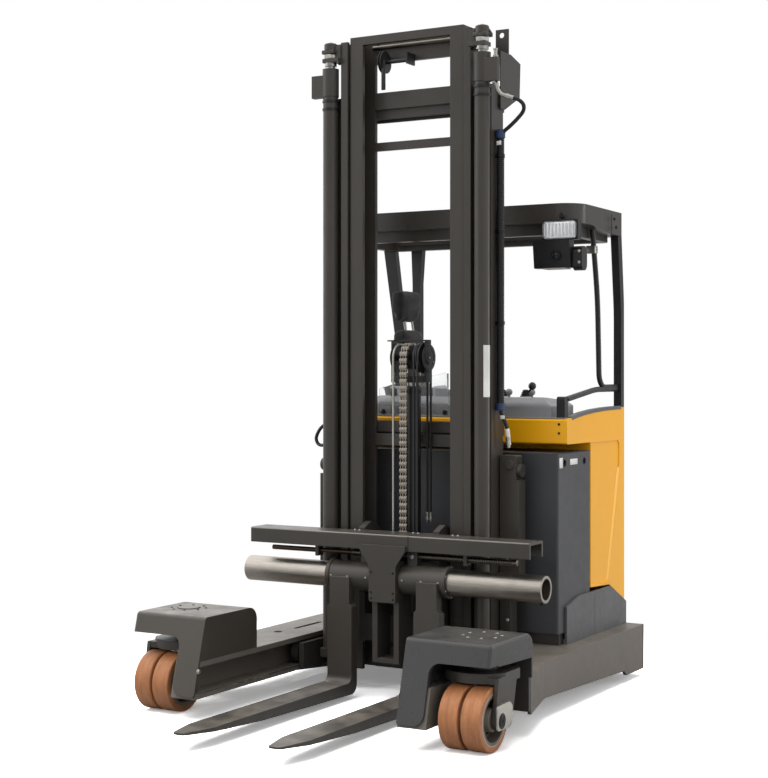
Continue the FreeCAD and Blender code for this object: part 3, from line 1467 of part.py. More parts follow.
def crosshead():
    """Yoke on the free-lift rod, with the axle of the three sheaves and the strap across their top."""
    y = free_lift_y
    top_z = yoke_top()
    parts = [block(yoke_low_x, yoke_high_x, y - yoke_half_y, y + yoke_half_y, top_z - yoke_thick, top_z)]
    for x in (yoke_low_x, yoke_high_x - yoke_side):
        parts.append(block(x, x + yoke_side, y - yoke_half_y, y + yoke_half_y, top_z - 1, yoke_top_z))
    parts.append(rod_x(yoke_low_x, yoke_high_x, y, sheave_axle_z, sheave_axle_r))
    parts.append(block(guard_strap_low_x, guard_strap_high_x, y + yoke_half_y - guard_strap_width,
                       y + yoke_half_y,
                       yoke_top_z - guard_strap_thick, yoke_top_z))
    return fused(parts)


def free_lift_rod():
    """Rod of the free-lift cylinder."""
    low_z = mast_foot_z + 2 * stage_step + 2 * free_foot_height
    return rod_z(low_z, yoke_top() - yoke_thick, free_lift_x, free_lift_y, free_rod_r)


def grooved_sheave(x, width, radius, groove):
    """A sheave on the crosshead's axle with a groove of the given depth in its rim."""
    half = width / 2
    wheel = ring_x(x - half, x + half, free_lift_y, sheave_axle_z, radius, sheave_axle_r + running_fit)
    rim = min(sheave_rim, width / 4)
    return wheel.cut(ring_x(x - half + rim, x + half - rim, free_lift_y, sheave_axle_z, radius + 1,
                            radius - groove))


def sheaves():
    """Chain sheave, hose sheave and thin pipe sheave on the crosshead's axle."""
    half = chain_width / 2
    chain_wheel = ring_x(chain_x - half, chain_x + half, free_lift_y, sheave_axle_z, sheave_r - chain_thick,
                         sheave_axle_r + running_fit)
    hose_wheel = grooved_sheave(hose_sheave_x, hose_sheave_width, sheave_r, sheave_groove)
    pipe_wheel = grooved_sheave(pipe_sheave_x, pipe_sheave_width, pipe_sheave_r, sheave_groove / 2)
    return Part.makeCompound([chain_wheel, hose_wheel, pipe_wheel])


def lift_chain():
    """Leaf chain over its sheave: front strand to the fork carriage, rear strand to the anchor bar."""
    y = free_lift_y
    low_x = chain_x - chain_width / 2
    high_x = chain_x + chain_width / 2
    inside = sheave_r - chain_thick + seat_clearance
    wrap = ring_x(low_x, high_x, y, sheave_axle_z, sheave_r, inside)
    wrap = wrap.common(block(low_x, high_x, y - sheave_r - 1, y + sheave_r + 1, sheave_axle_z,
                             sheave_axle_z + sheave_r + 1))
    front = block(low_x, high_x, y - sheave_r, y - inside, chain_end_z, sheave_axle_z)
    rear = block(low_x, high_x, y + inside, y + sheave_r, anchor_bar_z, sheave_axle_z)
    return fused([wrap, front, rear])


# ================================================================ fork carriage
def carriage_frame():
    """Side plates with rollers in the inner channels, joined by cross plates behind the beam."""
    parts = []
    wide = carriage_cheek_x + carriage_cheek
    cheek = slab_x([(beam_rear_y, carriage_low_z), (carriage_cheek_rear_y, carriage_low_z),
                    (carriage_cheek_rear_y, carriage_rear_z), (carriage_point_y, carriage_high_z, 10.0),
                    (beam_rear_y, carriage_front_z)], carriage_cheek_x, wide)
    parts += [cheek, mirrored(cheek)]
    for low, high in ((low_cross_z, low_cross_z + low_cross_height),
                      (beam_bottom_z - high_cross_drop, beam_top_z)):
        parts.append(block(-wide, wide, beam_rear_y, beam_rear_y + cross_plate, low, high))
    lug_rear_y = free_lift_y - sheave_r + chain_thick
    for low_x in (chain_x - chain_width / 2 - chain_lug_gap - chain_lug,
                  chain_x + chain_width / 2 + chain_lug_gap):
        parts.append(block(low_x, low_x + chain_lug, beam_rear_y, lug_rear_y, chain_end_z,
                           beam_bottom_z - high_cross_drop + 5))
    front = inner_front_y + channel_flange
    rear = inner_rear_y - channel_flange
    y = (front + rear) / 2
    for z in (carriage_roller_low_z, carriage_roller_high_z):
        wheel = rod_x(inner_flange_x + 6, inner_web_x - channel_web - 10, y, z,
                      (rear - front) / 2 - roller_play)
        stub = rod_x(wide - 1, inner_flange_x + 7, y, z, 16.0)
        parts += [wheel, stub, mirrored(wheel), mirrored(stub)]
    return fused(parts)


def carriage_hub():
    """Block that clamps the shaft, its face plate spreading out to the beam, and two ribs below."""
    core = block(-plate_half, plate_half, beam_front_y, beam_rear_y, plate_bottom_z,
                 spindle_z - spindle_r - spindle_gap)
    parts = [core.cut(rod_x(-plate_half - 1, plate_half + 1, shaft_y, shaft_z, shaft_r + running_fit))]
    rib_y = beam_front_y + rib_in
    rib = block(rib_x, rib_x + rib_thick, rib_y, beam_rear_y, rib_bottom_z, plate_bottom_z)
    parts += [rib, mirrored(rib)]
    parts.append(block(-rib_x - rib_thick, rib_x + rib_thick, rib_y, beam_rear_y, rib_bottom_z - rib_foot,
                       rib_bottom_z))
    half = plate_half
    waist_z = beam_bottom_z - plate_flare_drop
    top_z = beam_bottom_z + plate_overlap
    parts.append(slab_y([(-half, plate_bottom_z, plate_corner_r), (half, plate_bottom_z, plate_corner_r),
                         (half, waist_z, plate_waist_r), (plate_flare, beam_bottom_z, plate_flare_r),
                         (plate_flare, top_z), (-plate_flare, top_z),
                         (-plate_flare, beam_bottom_z, plate_flare_r), (-half, waist_z, plate_waist_r)],
                        beam_front_y - plate_thick, beam_front_y))
    return fused(parts)


def fork_beam():
    """Inverted U channel over the whole width, with the spindle's two hangers."""
    outer = slab_x([(beam_front_y, beam_bottom_z), (beam_rear_y, beam_bottom_z),
                    (beam_rear_y, beam_top_z, beam_corner_r), (beam_front_y, beam_top_z, beam_corner_r)],
                   -beam_half, beam_half)
    inner = block(-beam_half - 1, beam_half + 1, beam_front_y + beam_plate, beam_rear_y - beam_plate,
                  beam_bottom_z - 1, beam_top_z - beam_plate)
    parts = [outer.cut(inner)]
    for x, radius in ((-hanger_x, spindle_thin_r), (hanger_x, spindle_r)):
        low_x = x - hanger_thick / 2
        hanger = block(low_x, low_x + hanger_thick, spindle_y - hanger_half_y, spindle_y + hanger_half_y,
                       spindle_z - hanger_drop, beam_top_z - beam_plate)
        parts.append(hanger.cut(rod_x(low_x - 1, low_x + hanger_thick + 1, spindle_y, spindle_z,
                                      radius + running_fit)))
    return fused(parts)


def fork_shaft():
    """Round steel tube that carries both forks."""
    return ring_x(-shaft_half, shaft_half, shaft_y, shaft_z, shaft_r, shaft_bore_r)


def positioner_spindle():
    """Spindle above the shaft that moves the forks: thin at its left end, threaded at its right."""
    return fused([rod_x(spindle_left_x, spindle_step_x, spindle_y, spindle_z, spindle_thin_r),
                  rod_x(spindle_step_x, spindle_right_x, spindle_y, spindle_z, spindle_r)])


# ================================================================ forks
def fork():
    """Fork with its blade, shank, neck, sleeve on the shaft and the spindle's nut lug."""
    tip_y = fork_face_y - fork_length
    rear_y = fork_face_y + fork_shank
    half = fork_width / 2
    neck = fork_neck / 2
    low_x = fork_x - half
    high_x = fork_x + half
    side = slab_x([(tip_y, blade_top_z), (tip_y, blade_top_z - tip_thick),
                   (blade_rise_y, blade_low_z + blade_rise),
                   (rear_y, blade_low_z, heel_outer_r), (rear_y, shaft_z), (fork_face_y, shaft_z),
                   (fork_face_y, blade_top_z, heel_r)], low_x, high_x)
    taper_y = tip_y + tip_taper
    tip_half = tip_width / 2
    plan = slab_z([(low_x, rear_y + 1), (low_x, taper_y, tip_side_r),
                   (fork_x - tip_half, tip_y, tip_corner_r),
                   (fork_x + tip_half, tip_y, tip_corner_r), (high_x, taper_y, tip_side_r), (high_x,
                                                                                             rear_y + 1)],
                  blade_low_z - 1, shaft_z + 1)
    shoulder_z = neck_bottom_z - neck_shoulder
    front = slab_y([(low_x, blade_low_z - 1), (high_x, blade_low_z - 1), (high_x, shoulder_z),
                    (fork_x + neck, neck_bottom_z), (fork_x + neck, shaft_z + 1), (fork_x - neck,
                                                                                   shaft_z + 1),
                    (fork_x - neck, neck_bottom_z), (low_x, shoulder_z)], tip_y - 1, rear_y + 1)
    sleeve = rod_x(sleeve_inner_x, sleeve_outer_x, shaft_y, shaft_z, sleeve_r)
    flange = rod_x(sleeve_outer_x - flange_thick, sleeve_outer_x, shaft_y, shaft_z, flange_r)
    lug = block(lug_x, lug_x + lug_width, spindle_y - lug_half_y, spindle_y + lug_half_y,
                shaft_z + sleeve_r - lug_sink, spindle_z + lug_rise)
    bore = rod_x(sleeve_inner_x - 1, sleeve_outer_x + 1, shaft_y, shaft_z, shaft_r + running_fit)
    nut = rod_x(lug_x - 1, lug_x + lug_width + 1, spindle_y, spindle_z, spindle_r + running_fit)
    return fused([side.common(plan).common(front), sleeve, flange, lug]).cut(bore).cut(nut)


# ================================================================ the list of sub-parts
nodes = {
    "chassis_leg_left": mirrored(chassis_leg(True)), "chassis_leg_right": chassis_leg(False),
    "rear_frame": rear_frame(),
    "wheel_cover_left": mirrored(wheel_cover()), "wheel_cover_right": wheel_cover(),
    "battery": battery(),
    "body_shell": body_shell(), "skirts": skirts(),
    "cab_floor": cab_floor(), "seat_base": seat_base(), "seat_cushion": seat_cushion(),
    "seat_backrest": seat_backrest(), "seat_headrest": seat_headrest(), "seat_armrest": seat_armrest(),
    "dash": dash(),
    "roof": roof(), "rear_pillars": rear_pillars(), "hand_rails": hand_rails(),
    "work_lamp": work_lamp(), "lamp_lens": lamp_lens(),
    "drive_motor": drive_motor(), "reach_barrel": reach_barrel(),
    "reach_base": reach_base(), "towers": pair(reach_tower()), "reach_rod": reach_rod(),
    "outer_uprights": outer_uprights(), "outer_crossbars": outer_crossbars(),
    "hose_guard": hose_guard(), "lift_barrels": lift_barrels(),
    "middle_uprights": middle_uprights(), "middle_crossbars": middle_crossbars(),
    "lift_rods": lift_rods(),
    "inner_uprights": inner_uprights(), "inner_crossbars": inner_crossbars(),
    "head_pulley": head_pulley(), "free_lift_barrel": free_lift_barrel(),
    "crosshead": crosshead(), "free_lift_rod": free_lift_rod(),
    "sheaves": sheaves(), "lift_chain": lift_chain(),
    "carriage_frame": carriage_frame(), "carriage_hub": carriage_hub(),
    "fork_beam": fork_beam(), "fork_shaft": fork_shaft(),
    "positioner_spindle": positioner_spindle(),
    "fork_left": mirrored(fork()), "fork_right": fork(),
}
for side_name, place in (("left", mirrored), ("right", lambda shape: shape)):
    nodes["turntable_" + side_name] = place(turntable())
    nodes["load_tyres_" + side_name] = place(load_wheel_tyres())
    nodes["load_hub_" + side_name] = place(load_wheel_hub())
nodes["drive_turret"] = drive_turret()
nodes["drive_tyre"] = drive_wheel_tyre()
nodes["drive_hub"] = drive_wheel_hub()

os.makedirs("parts", exist_ok=True)
for name, shape in nodes.items():
    if not shape.isValid():
        print("not valid:", name)
    shape.exportStep("parts/" + name + ".step")
print(len(nodes), "nodes")
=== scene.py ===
"""Looks of the multi-directional reach truck: materials, fine pieces, light and camera.

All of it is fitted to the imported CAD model. Sizes and places are in millimetres, and are turned to
metres when a piece is finished.
"""
import bpy
import bmesh
import json
from math import cos, pi, radians, sin, tan, tau
from mathutils import Matrix, Vector


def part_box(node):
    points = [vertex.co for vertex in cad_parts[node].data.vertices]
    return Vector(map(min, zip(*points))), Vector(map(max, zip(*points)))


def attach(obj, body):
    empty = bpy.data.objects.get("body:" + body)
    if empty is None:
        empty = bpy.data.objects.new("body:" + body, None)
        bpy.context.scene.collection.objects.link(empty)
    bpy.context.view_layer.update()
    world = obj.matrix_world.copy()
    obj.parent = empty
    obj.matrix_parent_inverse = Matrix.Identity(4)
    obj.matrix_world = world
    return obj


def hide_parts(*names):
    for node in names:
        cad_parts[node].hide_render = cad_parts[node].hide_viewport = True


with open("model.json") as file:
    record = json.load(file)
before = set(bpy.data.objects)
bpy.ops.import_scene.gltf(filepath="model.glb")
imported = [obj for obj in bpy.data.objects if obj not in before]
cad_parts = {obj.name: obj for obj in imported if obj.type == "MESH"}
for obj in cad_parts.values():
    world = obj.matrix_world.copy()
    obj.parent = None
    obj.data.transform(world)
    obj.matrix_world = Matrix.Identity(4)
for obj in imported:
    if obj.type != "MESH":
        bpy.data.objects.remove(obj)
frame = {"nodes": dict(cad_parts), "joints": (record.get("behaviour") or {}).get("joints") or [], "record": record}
nodes = frame["nodes"]
joints = {joint["name"]: joint for joint in frame["joints"]}
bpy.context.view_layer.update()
scene = bpy.context.scene

MM = 0.001
X = Vector((1, 0, 0))
Y = Vector((0, 1, 0))
Z = Vector((0, 0, 1))
SIDES = {"right": 1, "left": -1}


def span(node):
    """A CAD node's lowest and highest corners."""
    low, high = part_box(node)
    return Vector(low) / MM, Vector(high) / MM


def middle(node):
    """The middle of a CAD node's box."""
    low, high = span(node)
    return (low + high) / 2


def joint_place(name):
    """A place on a CAD joint's axis."""
    return Vector(joints[name]["pos_m"]) / MM


def axle_end(node, side):
    """Where a load wheel's axis meets the outward face of a CAD node."""
    low, high = span(node)
    place = joint_place(f"load_wheel_{side}_spin")
    place.x = high.x if side == "right" else low.x
    return place


def put_in_scene(name, data):
    """An object with the given mesh, lamp or camera data, in the scene."""
    made = bpy.data.objects.new(name, data)
    scene.collection.objects.link(made)
    return made


# ---- materials
class Tree:
    """A node tree with short calls for adding and joining nodes."""

    def __init__(self, owner):
        owner.use_nodes = True
        self.tree = owner.node_tree
        self.tree.nodes.clear()

    def add(self, kind, inputs=None, **settings):
        """Adds a node, fills its inputs with values or other outputs, and gives its outputs."""
        node = self.tree.nodes.new("ShaderNode" + kind)
        for key, value in settings.items():
            setattr(node, key, value)
        for key, value in (inputs or {}).items():
            if isinstance(value, bpy.types.NodeSocket):
                self.tree.links.new(value, node.inputs[key])
            else:
                node.inputs[key].default_value = value
        return node.outputs

    def ramp(self, fac, low, high, out_low=0.0, out_high=1.0):
        """Maps low..high to out_low..out_high, held at both ends."""
        return self.add("MapRange", {"Value": fac, "From Min": low, "From Max": high,
                                     "To Min": out_low, "To Max": out_high})[0]

    def math(self, operation, a, b):
        """A Math node on two values."""
        return self.add("Math", {0: a, 1: b}, operation=operation)[0]

    def seen_straight(self):
        """1 for rays from the camera, also through glass, and 0 for all others."""
        path = self.add("LightPath")
        return self.math("MAXIMUM", path["Is Camera Ray"], path["Is Transmission Ray"])


class Shader(Tree):
    """A material's node tree, with a base colour if one is given."""

    def __init__(self, name, colour=None):
        self.colour = colour
        self.material = bpy.data.materials.new(name)
        super().__init__(self.material)
        self.coords = self.add("TexCoord")["Object"]

    def noise(self, scale, detail=3, roughness=0.55, stretch=None):
        """Noise from 0 to 1 in object space, stretched by a scale vector if given."""
        vector = self.coords
        if stretch:
            vector = self.add("Mapping", {"Vector": vector, "Scale": stretch})[0]
        inputs = {"Vector": vector, "Scale": scale, "Detail": detail, "Roughness": roughness}
        return self.add("TexNoise", inputs)["Fac"]

    def mix(self, fac, a, b):
        """Colour a where fac is 0 and b where it is 1."""
        return self.add("Mix", {0: fac, 6: a, 7: b}, data_type="RGBA")[2]

    def shade(self, factor):
        """The base colour, scaled."""
        return tuple(min(1.0, c * factor) for c in self.colour[:3]) + (1.0,)

    def facing_up(self):
        """How far the surface faces up: 1 on top, 0 on a wall, -1 below."""
        normal = self.add("NewGeometry")["Normal"]
        return self.add("SeparateXYZ", {0: normal})[2]

    def edges(self, radius):
        """The bevelled normal, and a mask that is 1 on sharp edges and 0 on flat faces."""
        bevel = self.add("Bevel", {"Radius": radius}, samples=6)[0]
        normal = self.add("NewGeometry")["Normal"]
        dot = self.add("VectorMath", {0: bevel, 1: normal}, operation="DOT_PRODUCT")["Value"]
        return bevel, self.ramp(dot, 0.995, 0.80)

    def bump(self, height, strength, distance, normal=None):
        """A Bump node over an optional normal."""
        inputs = {"Height": height, "Strength": strength, "Distance": distance}
        if normal is not None:
            inputs["Normal"] = normal
        return self.add("Bump", inputs)[0]

    def finish(self, tone, rough, normal, **others):
        """Ends the tree; other Principled inputs are named with _ for a space."""
        inputs = {"Base Color": tone, "Roughness": rough, "Normal": normal}
        for key, value in others.items():
            inputs[key.replace("_", " ")] = value
        shader = self.add("BsdfPrincipled", inputs)[0]
        self.add("OutputMaterial", {0: shader})
        return self.material


def rgb(*values):
    """Display values 0..255 as the linear colour that shaders take."""
    shares = [value / 255 for value in values]
    return tuple(((c + 0.055) / 1.055) ** 2.4 if c > 0.04 else c / 12.92 for c in shares) + (1.0,)


def paint(name, colour, rough=0.36, coat=0.0, wear_and_highlight=0.3, worn_and_highlight=None, dust=0.12, clouds=0.10, edge_width=0.0022):
    """Sprayed metal: orange peel, cloudy tone, lighter edges of wear and painted highlight, dust and a painted
    lighter top, grime and painted shade below.
    """
    s = Shader(name, colour)
    bevel, edge = s.edges(edge_width)
    tone = s.mix(s.ramp(s.noise(2.3, 4), 0.3, 0.7), s.shade(1 - clouds), s.shade(1 + clouds))
    # dust on faces turned up, which also paints a lighter top where light from above would fall
    on_top = s.ramp(s.facing_up(), 0.6, 1)
    dust_and_top_light = s.math("MULTIPLY", on_top, s.ramp(s.noise(9, 6), 0.35, 0.75, 0, dust))
    tone = s.mix(dust_and_top_light, tone, rgb(150, 142, 132))
    # darker faces turned down: grime and painted shade
    grime_and_shade = s.math("MULTIPLY", s.ramp(s.facing_up(), 0.1, -0.8), 0.35)
    tone = s.mix(grime_and_shade, tone, s.shade(0.45))
    # lighter edges: chipped wear and a painted highlight along the edges
    chips_and_highlight = s.math("MULTIPLY", edge, s.ramp(s.noise(38, 5, 0.7), 0.38, 0.62, 0.15, 1))
    tone = s.mix(s.math("MULTIPLY", chips_and_highlight, wear_and_highlight), tone, worn_and_highlight or s.shade(2.6))
    rough_map = s.ramp(s.noise(14, 5, 0.65), 0.3, 0.7, rough - 0.06, rough + 0.08)
    normal = s.bump(s.noise(420, 2), 0.12, 0.0004, bevel)
    return s.finish(tone, rough_map, normal, Coat_Weight=coat, Coat_Roughness=0.18)


def steel(name, colour, rough, stretch, scale=30, contrast=0.25, grime_and_shade=0):
    """Bare steel with fine lines one way, faint stains, and grime and painted shade on its underside."""
    s = Shader(name, colour)
    bevel, edge = s.edges(0.0015)
    lines = s.noise(scale, 4, 0.7, stretch)
    tone = s.mix(s.ramp(lines, 0.35, 0.65), s.shade(1 - contrast), s.shade(1 + contrast * 0.5))
    tone = s.mix(s.ramp(s.noise(6, 5), 0.5, 0.8, 0, 0.35), tone, s.shade(0.4))
    # darker faces turned down, towards brown-black: grime and painted shade
    under = s.math("MULTIPLY", s.ramp(s.facing_up(), 0.45, -0.35), grime_and_shade)
    tone = s.mix(under, tone, rgb(44, 37, 32))
    tone = s.mix(s.math("MULTIPLY", edge, 0.3), tone, s.shade(1.5))
    rough_map = s.ramp(lines, 0.3, 0.7, rough - 0.06, rough + 0.1)
    return s.finish(tone, rough_map, s.bump(lines, 0.10, 0.0003, bevel), Metallic=1.0)


def moulded(name, colour, rough=0.5, grain=900, dust=0.12):
    """Moulded plastic or rubber with a fine leather-like grain."""
    s = Shader(name, colour)
    bevel, edge = s.edges(0.003)
    cells = s.add("TexVoronoi", {"Vector": s.coords, "Scale": grain})["Distance"]
    tone = s.mix(s.ramp(s.noise(4, 4), 0.3, 0.7), s.shade(0.85), s.shade(1.15))
    tone = s.mix(s.math("MULTIPLY", edge, 0.25), tone, s.shade(2))
    tone = s.mix(s.ramp(s.noise(17, 6), 0.55, 0.8, 0, dust), tone, s.shade(2.2))
    rough_map = s.ramp(s.noise(23, 4), 0.3, 0.7, rough - 0.06, rough + 0.08)
    return s.finish(tone, rough_map, s.bump(cells, 0.25, 0.0004, bevel))


def tread(name, colour):
    """Cast polyurethane: amber brown, with scuffed bands, bright grit and fine scratches."""
    s = Shader(name, colour)
    bevel, edge = s.edges(0.004)
    scuffs = s.noise(11, 6, 0.7, (6, 1, 1))
    tone = s.mix(s.ramp(scuffs, 0.35, 0.68), s.shade(1.1), s.shade(0.74))
    tone = s.mix(s.ramp(s.noise(70), 0.6, 0.75, 0, 0.35), tone, s.shade(1.5))
    tone = s.mix(s.math("MULTIPLY", edge, 0.4), tone, s.shade(1.6))
    normal = s.bump(s.noise(160, 4, 0.6, (3, 1, 1)), 0.25, 0.0006, bevel)
    return s.finish(tone, s.ramp(scuffs, 0.3, 0.7, 0.40, 0.58), normal,
                    Subsurface_Weight=0.04, Subsurface_Radius=(0.01, 0.004, 0.002))


def glass(name, tint=(0.95, 0.97, 1.0, 1.0), rough=0.02):
    """Clear lens or screen."""
    s = Shader(name)
    rough_map = s.ramp(s.noise(20), 0.3, 0.7, rough, rough + 0.06)
    return s.finish(tint, rough_map, s.bump(s.noise(60), 0.05, 0.0005), Transmission_Weight=0.95, IOR=1.45)


def cloth(name, colour):
    """Woven seat cover: crossed threads and a soft sheen."""
    s = Shader(name, colour)
    threads = [s.add("TexWave", {"Vector": s.coords, "Scale": 170, "Distortion": 1.5},
                     bands_direction=direction)["Fac"] for direction in ("Y", "Z")]
    weave = s.math("MAXIMUM", threads[0], threads[1])
    tone = s.mix(s.ramp(weave, 0.2, 0.9), s.shade(0.6), s.shade(1.25))
    tone = s.mix(s.ramp(s.noise(7, 4), 0.45, 0.75, 0, 0.4), tone, s.shade(1.7))
    rough_map = s.ramp(s.noise(30), 0.3, 0.7, 0.7, 0.9)
    return s.finish(tone, rough_map, s.bump(weave, 0.35, 0.0006), Sheen_Weight=0.1, Sheen_Roughness=0.5)


def chipped(name, colour):
    """Paint scraped through to bare steel in long patches along Y."""
    s = Shader(name)
    bare = s.ramp(s.noise(16, 6, 0.65, (1, 0.25, 1)), 0.47, 0.55)
    tone = s.mix(bare, colour, rgb(172, 165, 156))
    return s.finish(tone, s.ramp(bare, 0, 1, 0.4, 0.3), s.bump(bare, 0.2, 0.0003), Metallic=bare)


CHARCOAL = rgb(61, 57, 53)
ALONG_X = (1, 20, 20)
NO_LINES = (3, 3, 3)
MATERIALS = {
    "dark_paint": paint("charcoal paint", CHARCOAL, edge_width=0.003),
    "black_paint": paint("black paint", rgb(28, 28, 29), rough=0.34),
    "battery_paint": paint("battery paint", rgb(57, 58, 61), rough=0.4, wear_and_highlight=0.15),
    "yellow_paint": paint("yellow paint", rgb(250, 178, 10), rough=0.34, coat=0.12, wear_and_highlight=0.06,
                          worn_and_highlight=rgb(255, 214, 120), dust=0.03, clouds=0.03),
    "grey_plastic": moulded("grey moulding", rgb(84, 84, 86), rough=0.42),
    "seat_fabric": cloth("seat cloth", rgb(18, 18, 20)),
    "lens_glass": glass("clear lens"),
    "cast_grey": paint("cast iron", rgb(62, 56, 51), rough=0.5, wear_and_highlight=0.25),
    "chrome_rod": steel("chromed rod", rgb(172, 170, 166), 0.2, (40, 40, 1), contrast=0.1),
    "chain_steel": steel("chain steel", rgb(168, 158, 145), 0.40, (20, 1, 1)),
    "bright_steel": steel("drawn tube", rgb(184, 177, 168), 0.33, (1, 30, 30), scale=14, contrast=0.22,
                          grime_and_shade=0.35),
    "spindle_steel": steel("spindle steel", rgb(98, 84, 72), 0.4, ALONG_X, grime_and_shade=0.5),
    # the high dust amount also paints a lighter top on the forks, standing in for light from above
    "fork_paint": paint("fork paint", rgb(63, 59, 54), wear_and_highlight=0.5, dust=0.5),
    "tread_brown": tread("polyurethane tread", rgb(172, 114, 74)),
}
# the high wear here mostly paints a highlight along the folded edges
FOLDED_PLATE = paint("folded plate paint", CHARCOAL, rough=0.32, wear_and_highlight=0.6, edge_width=0.004)
# cast iron painted lighter than it is, as painted light in the shade inside the load wheels
LIGHTENED_HUB_CASTING = paint("hub casting painted lighter", rgb(112, 102, 92), rough=0.42)
# the legs' charcoal painted lighter, with more top dust, as painted light on their lit sides and top deck
LEGS_PAINTED_LIGHTER = paint("leg charcoal with painted light", rgb(100, 94, 87), rough=0.4, dust=0.3)
NODE_MATERIALS = {
    # the high dust amount also paints a lighter top on the left cover, standing in for light from above
    "wheel_cover_left": paint("warm cover paint", rgb(62, 57, 51), wear_and_highlight=0.1, dust=0.5),
    "wheel_cover_right": paint("cover paint", rgb(56, 55, 55), rough=0.3, wear_and_highlight=0.1, edge_width=0.003),
    # a lighter copy of the grey moulding, as painted light on the dash's lit top
    "dash": moulded("dash moulding with painted light", rgb(136, 136, 138), rough=0.42),
    "fork_beam": FOLDED_PLATE,
    "roof": FOLDED_PLATE,
    "rear_frame": FOLDED_PLATE,
    "rear_pillars": MATERIALS["black_paint"],
    "hand_rails": MATERIALS["black_paint"],
}
for side_name in SIDES:
    NODE_MATERIALS[f"load_hub_{side_name}"] = LIGHTENED_HUB_CASTING
    NODE_MATERIALS[f"chassis_leg_{side_name}"] = LEGS_PAINTED_LIGHTER

# looks of added pieces: the record slot they count as, and their own material
ZINC = "bright_steel", steel("zinc plated steel", rgb(190, 187, 180), 0.32, NO_LINES, contrast=0.12)
CAST_LIGHT = "cast_grey", paint("light casting", rgb(172, 168, 160), rough=0.5, wear_and_highlight=0.2, dust=0.2,
                                clouds=0.2)
# a light paint for strips laid on edges as painted highlights
PAINTED_EDGE_HIGHLIGHT = "dark_paint", paint("edge highlight paint", rgb(120, 116, 111), rough=0.4, wear_and_highlight=0.1)
RUBBER = "grey_plastic", moulded("black rubber", rgb(22, 22, 23), rough=0.42)
BLACK_BOLT = "black_paint", steel("blackened bolts", rgb(58, 56, 54), 0.38, NO_LINES, contrast=0.1)
BLUE_TIE = "grey_plastic", moulded("blue tie", rgb(36, 56, 88), rough=0.45)
BLANK_PLATE = "grey_plastic", moulded("blank plate", rgb(226, 226, 222), rough=0.4, dust=0.05)
GROOVE = "dark_paint", moulded("dark joint", rgb(12, 12, 12), rough=0.8)
THREAD_STEEL = "spindle_steel", steel("rolled thread", rgb(122, 116, 108), 0.34, ALONG_X, grime_and_shade=0.4)
# steel lighter than the bars are, as a painted highlight streak, with much grime and painted shade below
HIGHLIGHT_BAR_STEEL = "bright_steel", steel("bar steel painted light", rgb(150, 143, 134), 0.3, ALONG_X, scale=12, contrast=0.3,
                                  grime_and_shade=0.8)
FROSTED = "lens_glass", glass("frosted lens", (0.98, 0.985, 0.99, 1.0), 0.3)
PALE_COVER = "grey_plastic", moulded("pale cover", rgb(170, 168, 164), rough=0.45)
PALE_PANEL = "grey_plastic", moulded("pale panel", rgb(150, 152, 152))
REFLECTOR = "chrome_rod", steel("lamp reflector", (0.92, 0.93, 0.94, 1.0), 0.22, (8, 8, 8), contrast=0.05)
SCREEN = "lens_glass", glass("acrylic screen", (0.97, 0.98, 0.98, 1.0))
DISPLAY = "lens_glass", moulded("display glass", rgb(10, 13, 17), rough=0.15, dust=0)
SCRAPED = "bright_steel", chipped("scraped rail", CHARCOAL)


def dress_frame():
    """Gives each CAD node its own material if it has one, or else its record slot's."""
    slots = {part["node"]: part["material_slot"] for part in frame["record"]["subparts"]}
    for name, node in nodes.items():
        material = NODE_MATERIALS.get(name, MATERIALS[slots[name]])
        if not node.material_slots:
            node.data.materials.append(material)
        for slot in node.material_slots:
            slot.material = material


# ---- outlines and paths
def rounded(points, radius, steps=4):
    """A closed 2-D outline with every corner rounded."""
    result = []
    count = len(points)
    for index, point in enumerate(points):
        corner = Vector(point)
        back = (Vector(points[index - 1]) - corner).normalized()
        ahead = (Vector(points[(index + 1) % count]) - corner).normalized()
        turn = back.angle(ahead)
        reach = radius / tan(turn / 2)
        centre = corner + (back + ahead).normalized() * radius / sin(turn / 2)
        start = corner + back * reach - centre
        end = corner + ahead * reach - centre
        for step in range(steps + 1):
            share = step / steps
            result.append(tuple(centre + (start * (1 - share) + end * share).normalized() * radius))
    return result


def rounded_rectangle(low, high, inset, radius, steps):
    """A rectangle between two 2-D corners, drawn in by an inset and rounded."""
    left, bottom = (value + inset for value in low)
    right, top = (value - inset for value in high)
    return rounded([(left, bottom), (right, bottom), (right, top), (left, top)], radius, steps)


def smooth_path(points, steps=6):
    """Points along a Catmull-Rom curve through the given ones."""
    route = [Vector(point) for point in points]
    route = [2 * route[0] - route[1]] + route + [2 * route[-1] - route[-2]]
    path = []
    for a, b, c, d in zip(route, route[1:], route[2:], route[3:]):
        for step in range(steps):
            t = step / steps
            path.append(0.5 * ((2 * b) + (c - a) * t + (2 * a - 5 * b + 4 * c - d) * t ** 2
                               + (3 * b - a - 3 * c + d) * t ** 3))
    path.append(route[-2])
    return path


def on_circle(centre, axis, radius, count, shift=0):
    """Even places on a circle across an axis (0, 1 or 2), turned by a share of their spacing."""
    places = []
    for step in range(count):
        angle = tau * (step + shift) / count
        offset = [radius * cos(angle), radius * sin(angle)]
        offset.insert(axis, 0)
        places.append(Vector(centre) + Vector(offset))
    return places


def turned(*steps):
    """A stepped rod's lathe profile from (radius, end) steps; a step down is a short cone."""
    cone = 2
    profile = [(0, 0)]
    start = 0
    for radius, end in steps:
        if radius < profile[-1][0]:
            start += cone
        profile += [(radius, start), (radius, end)]
        start = end
    return profile + [(0, start)]


# ---- piece building
PIECES = []


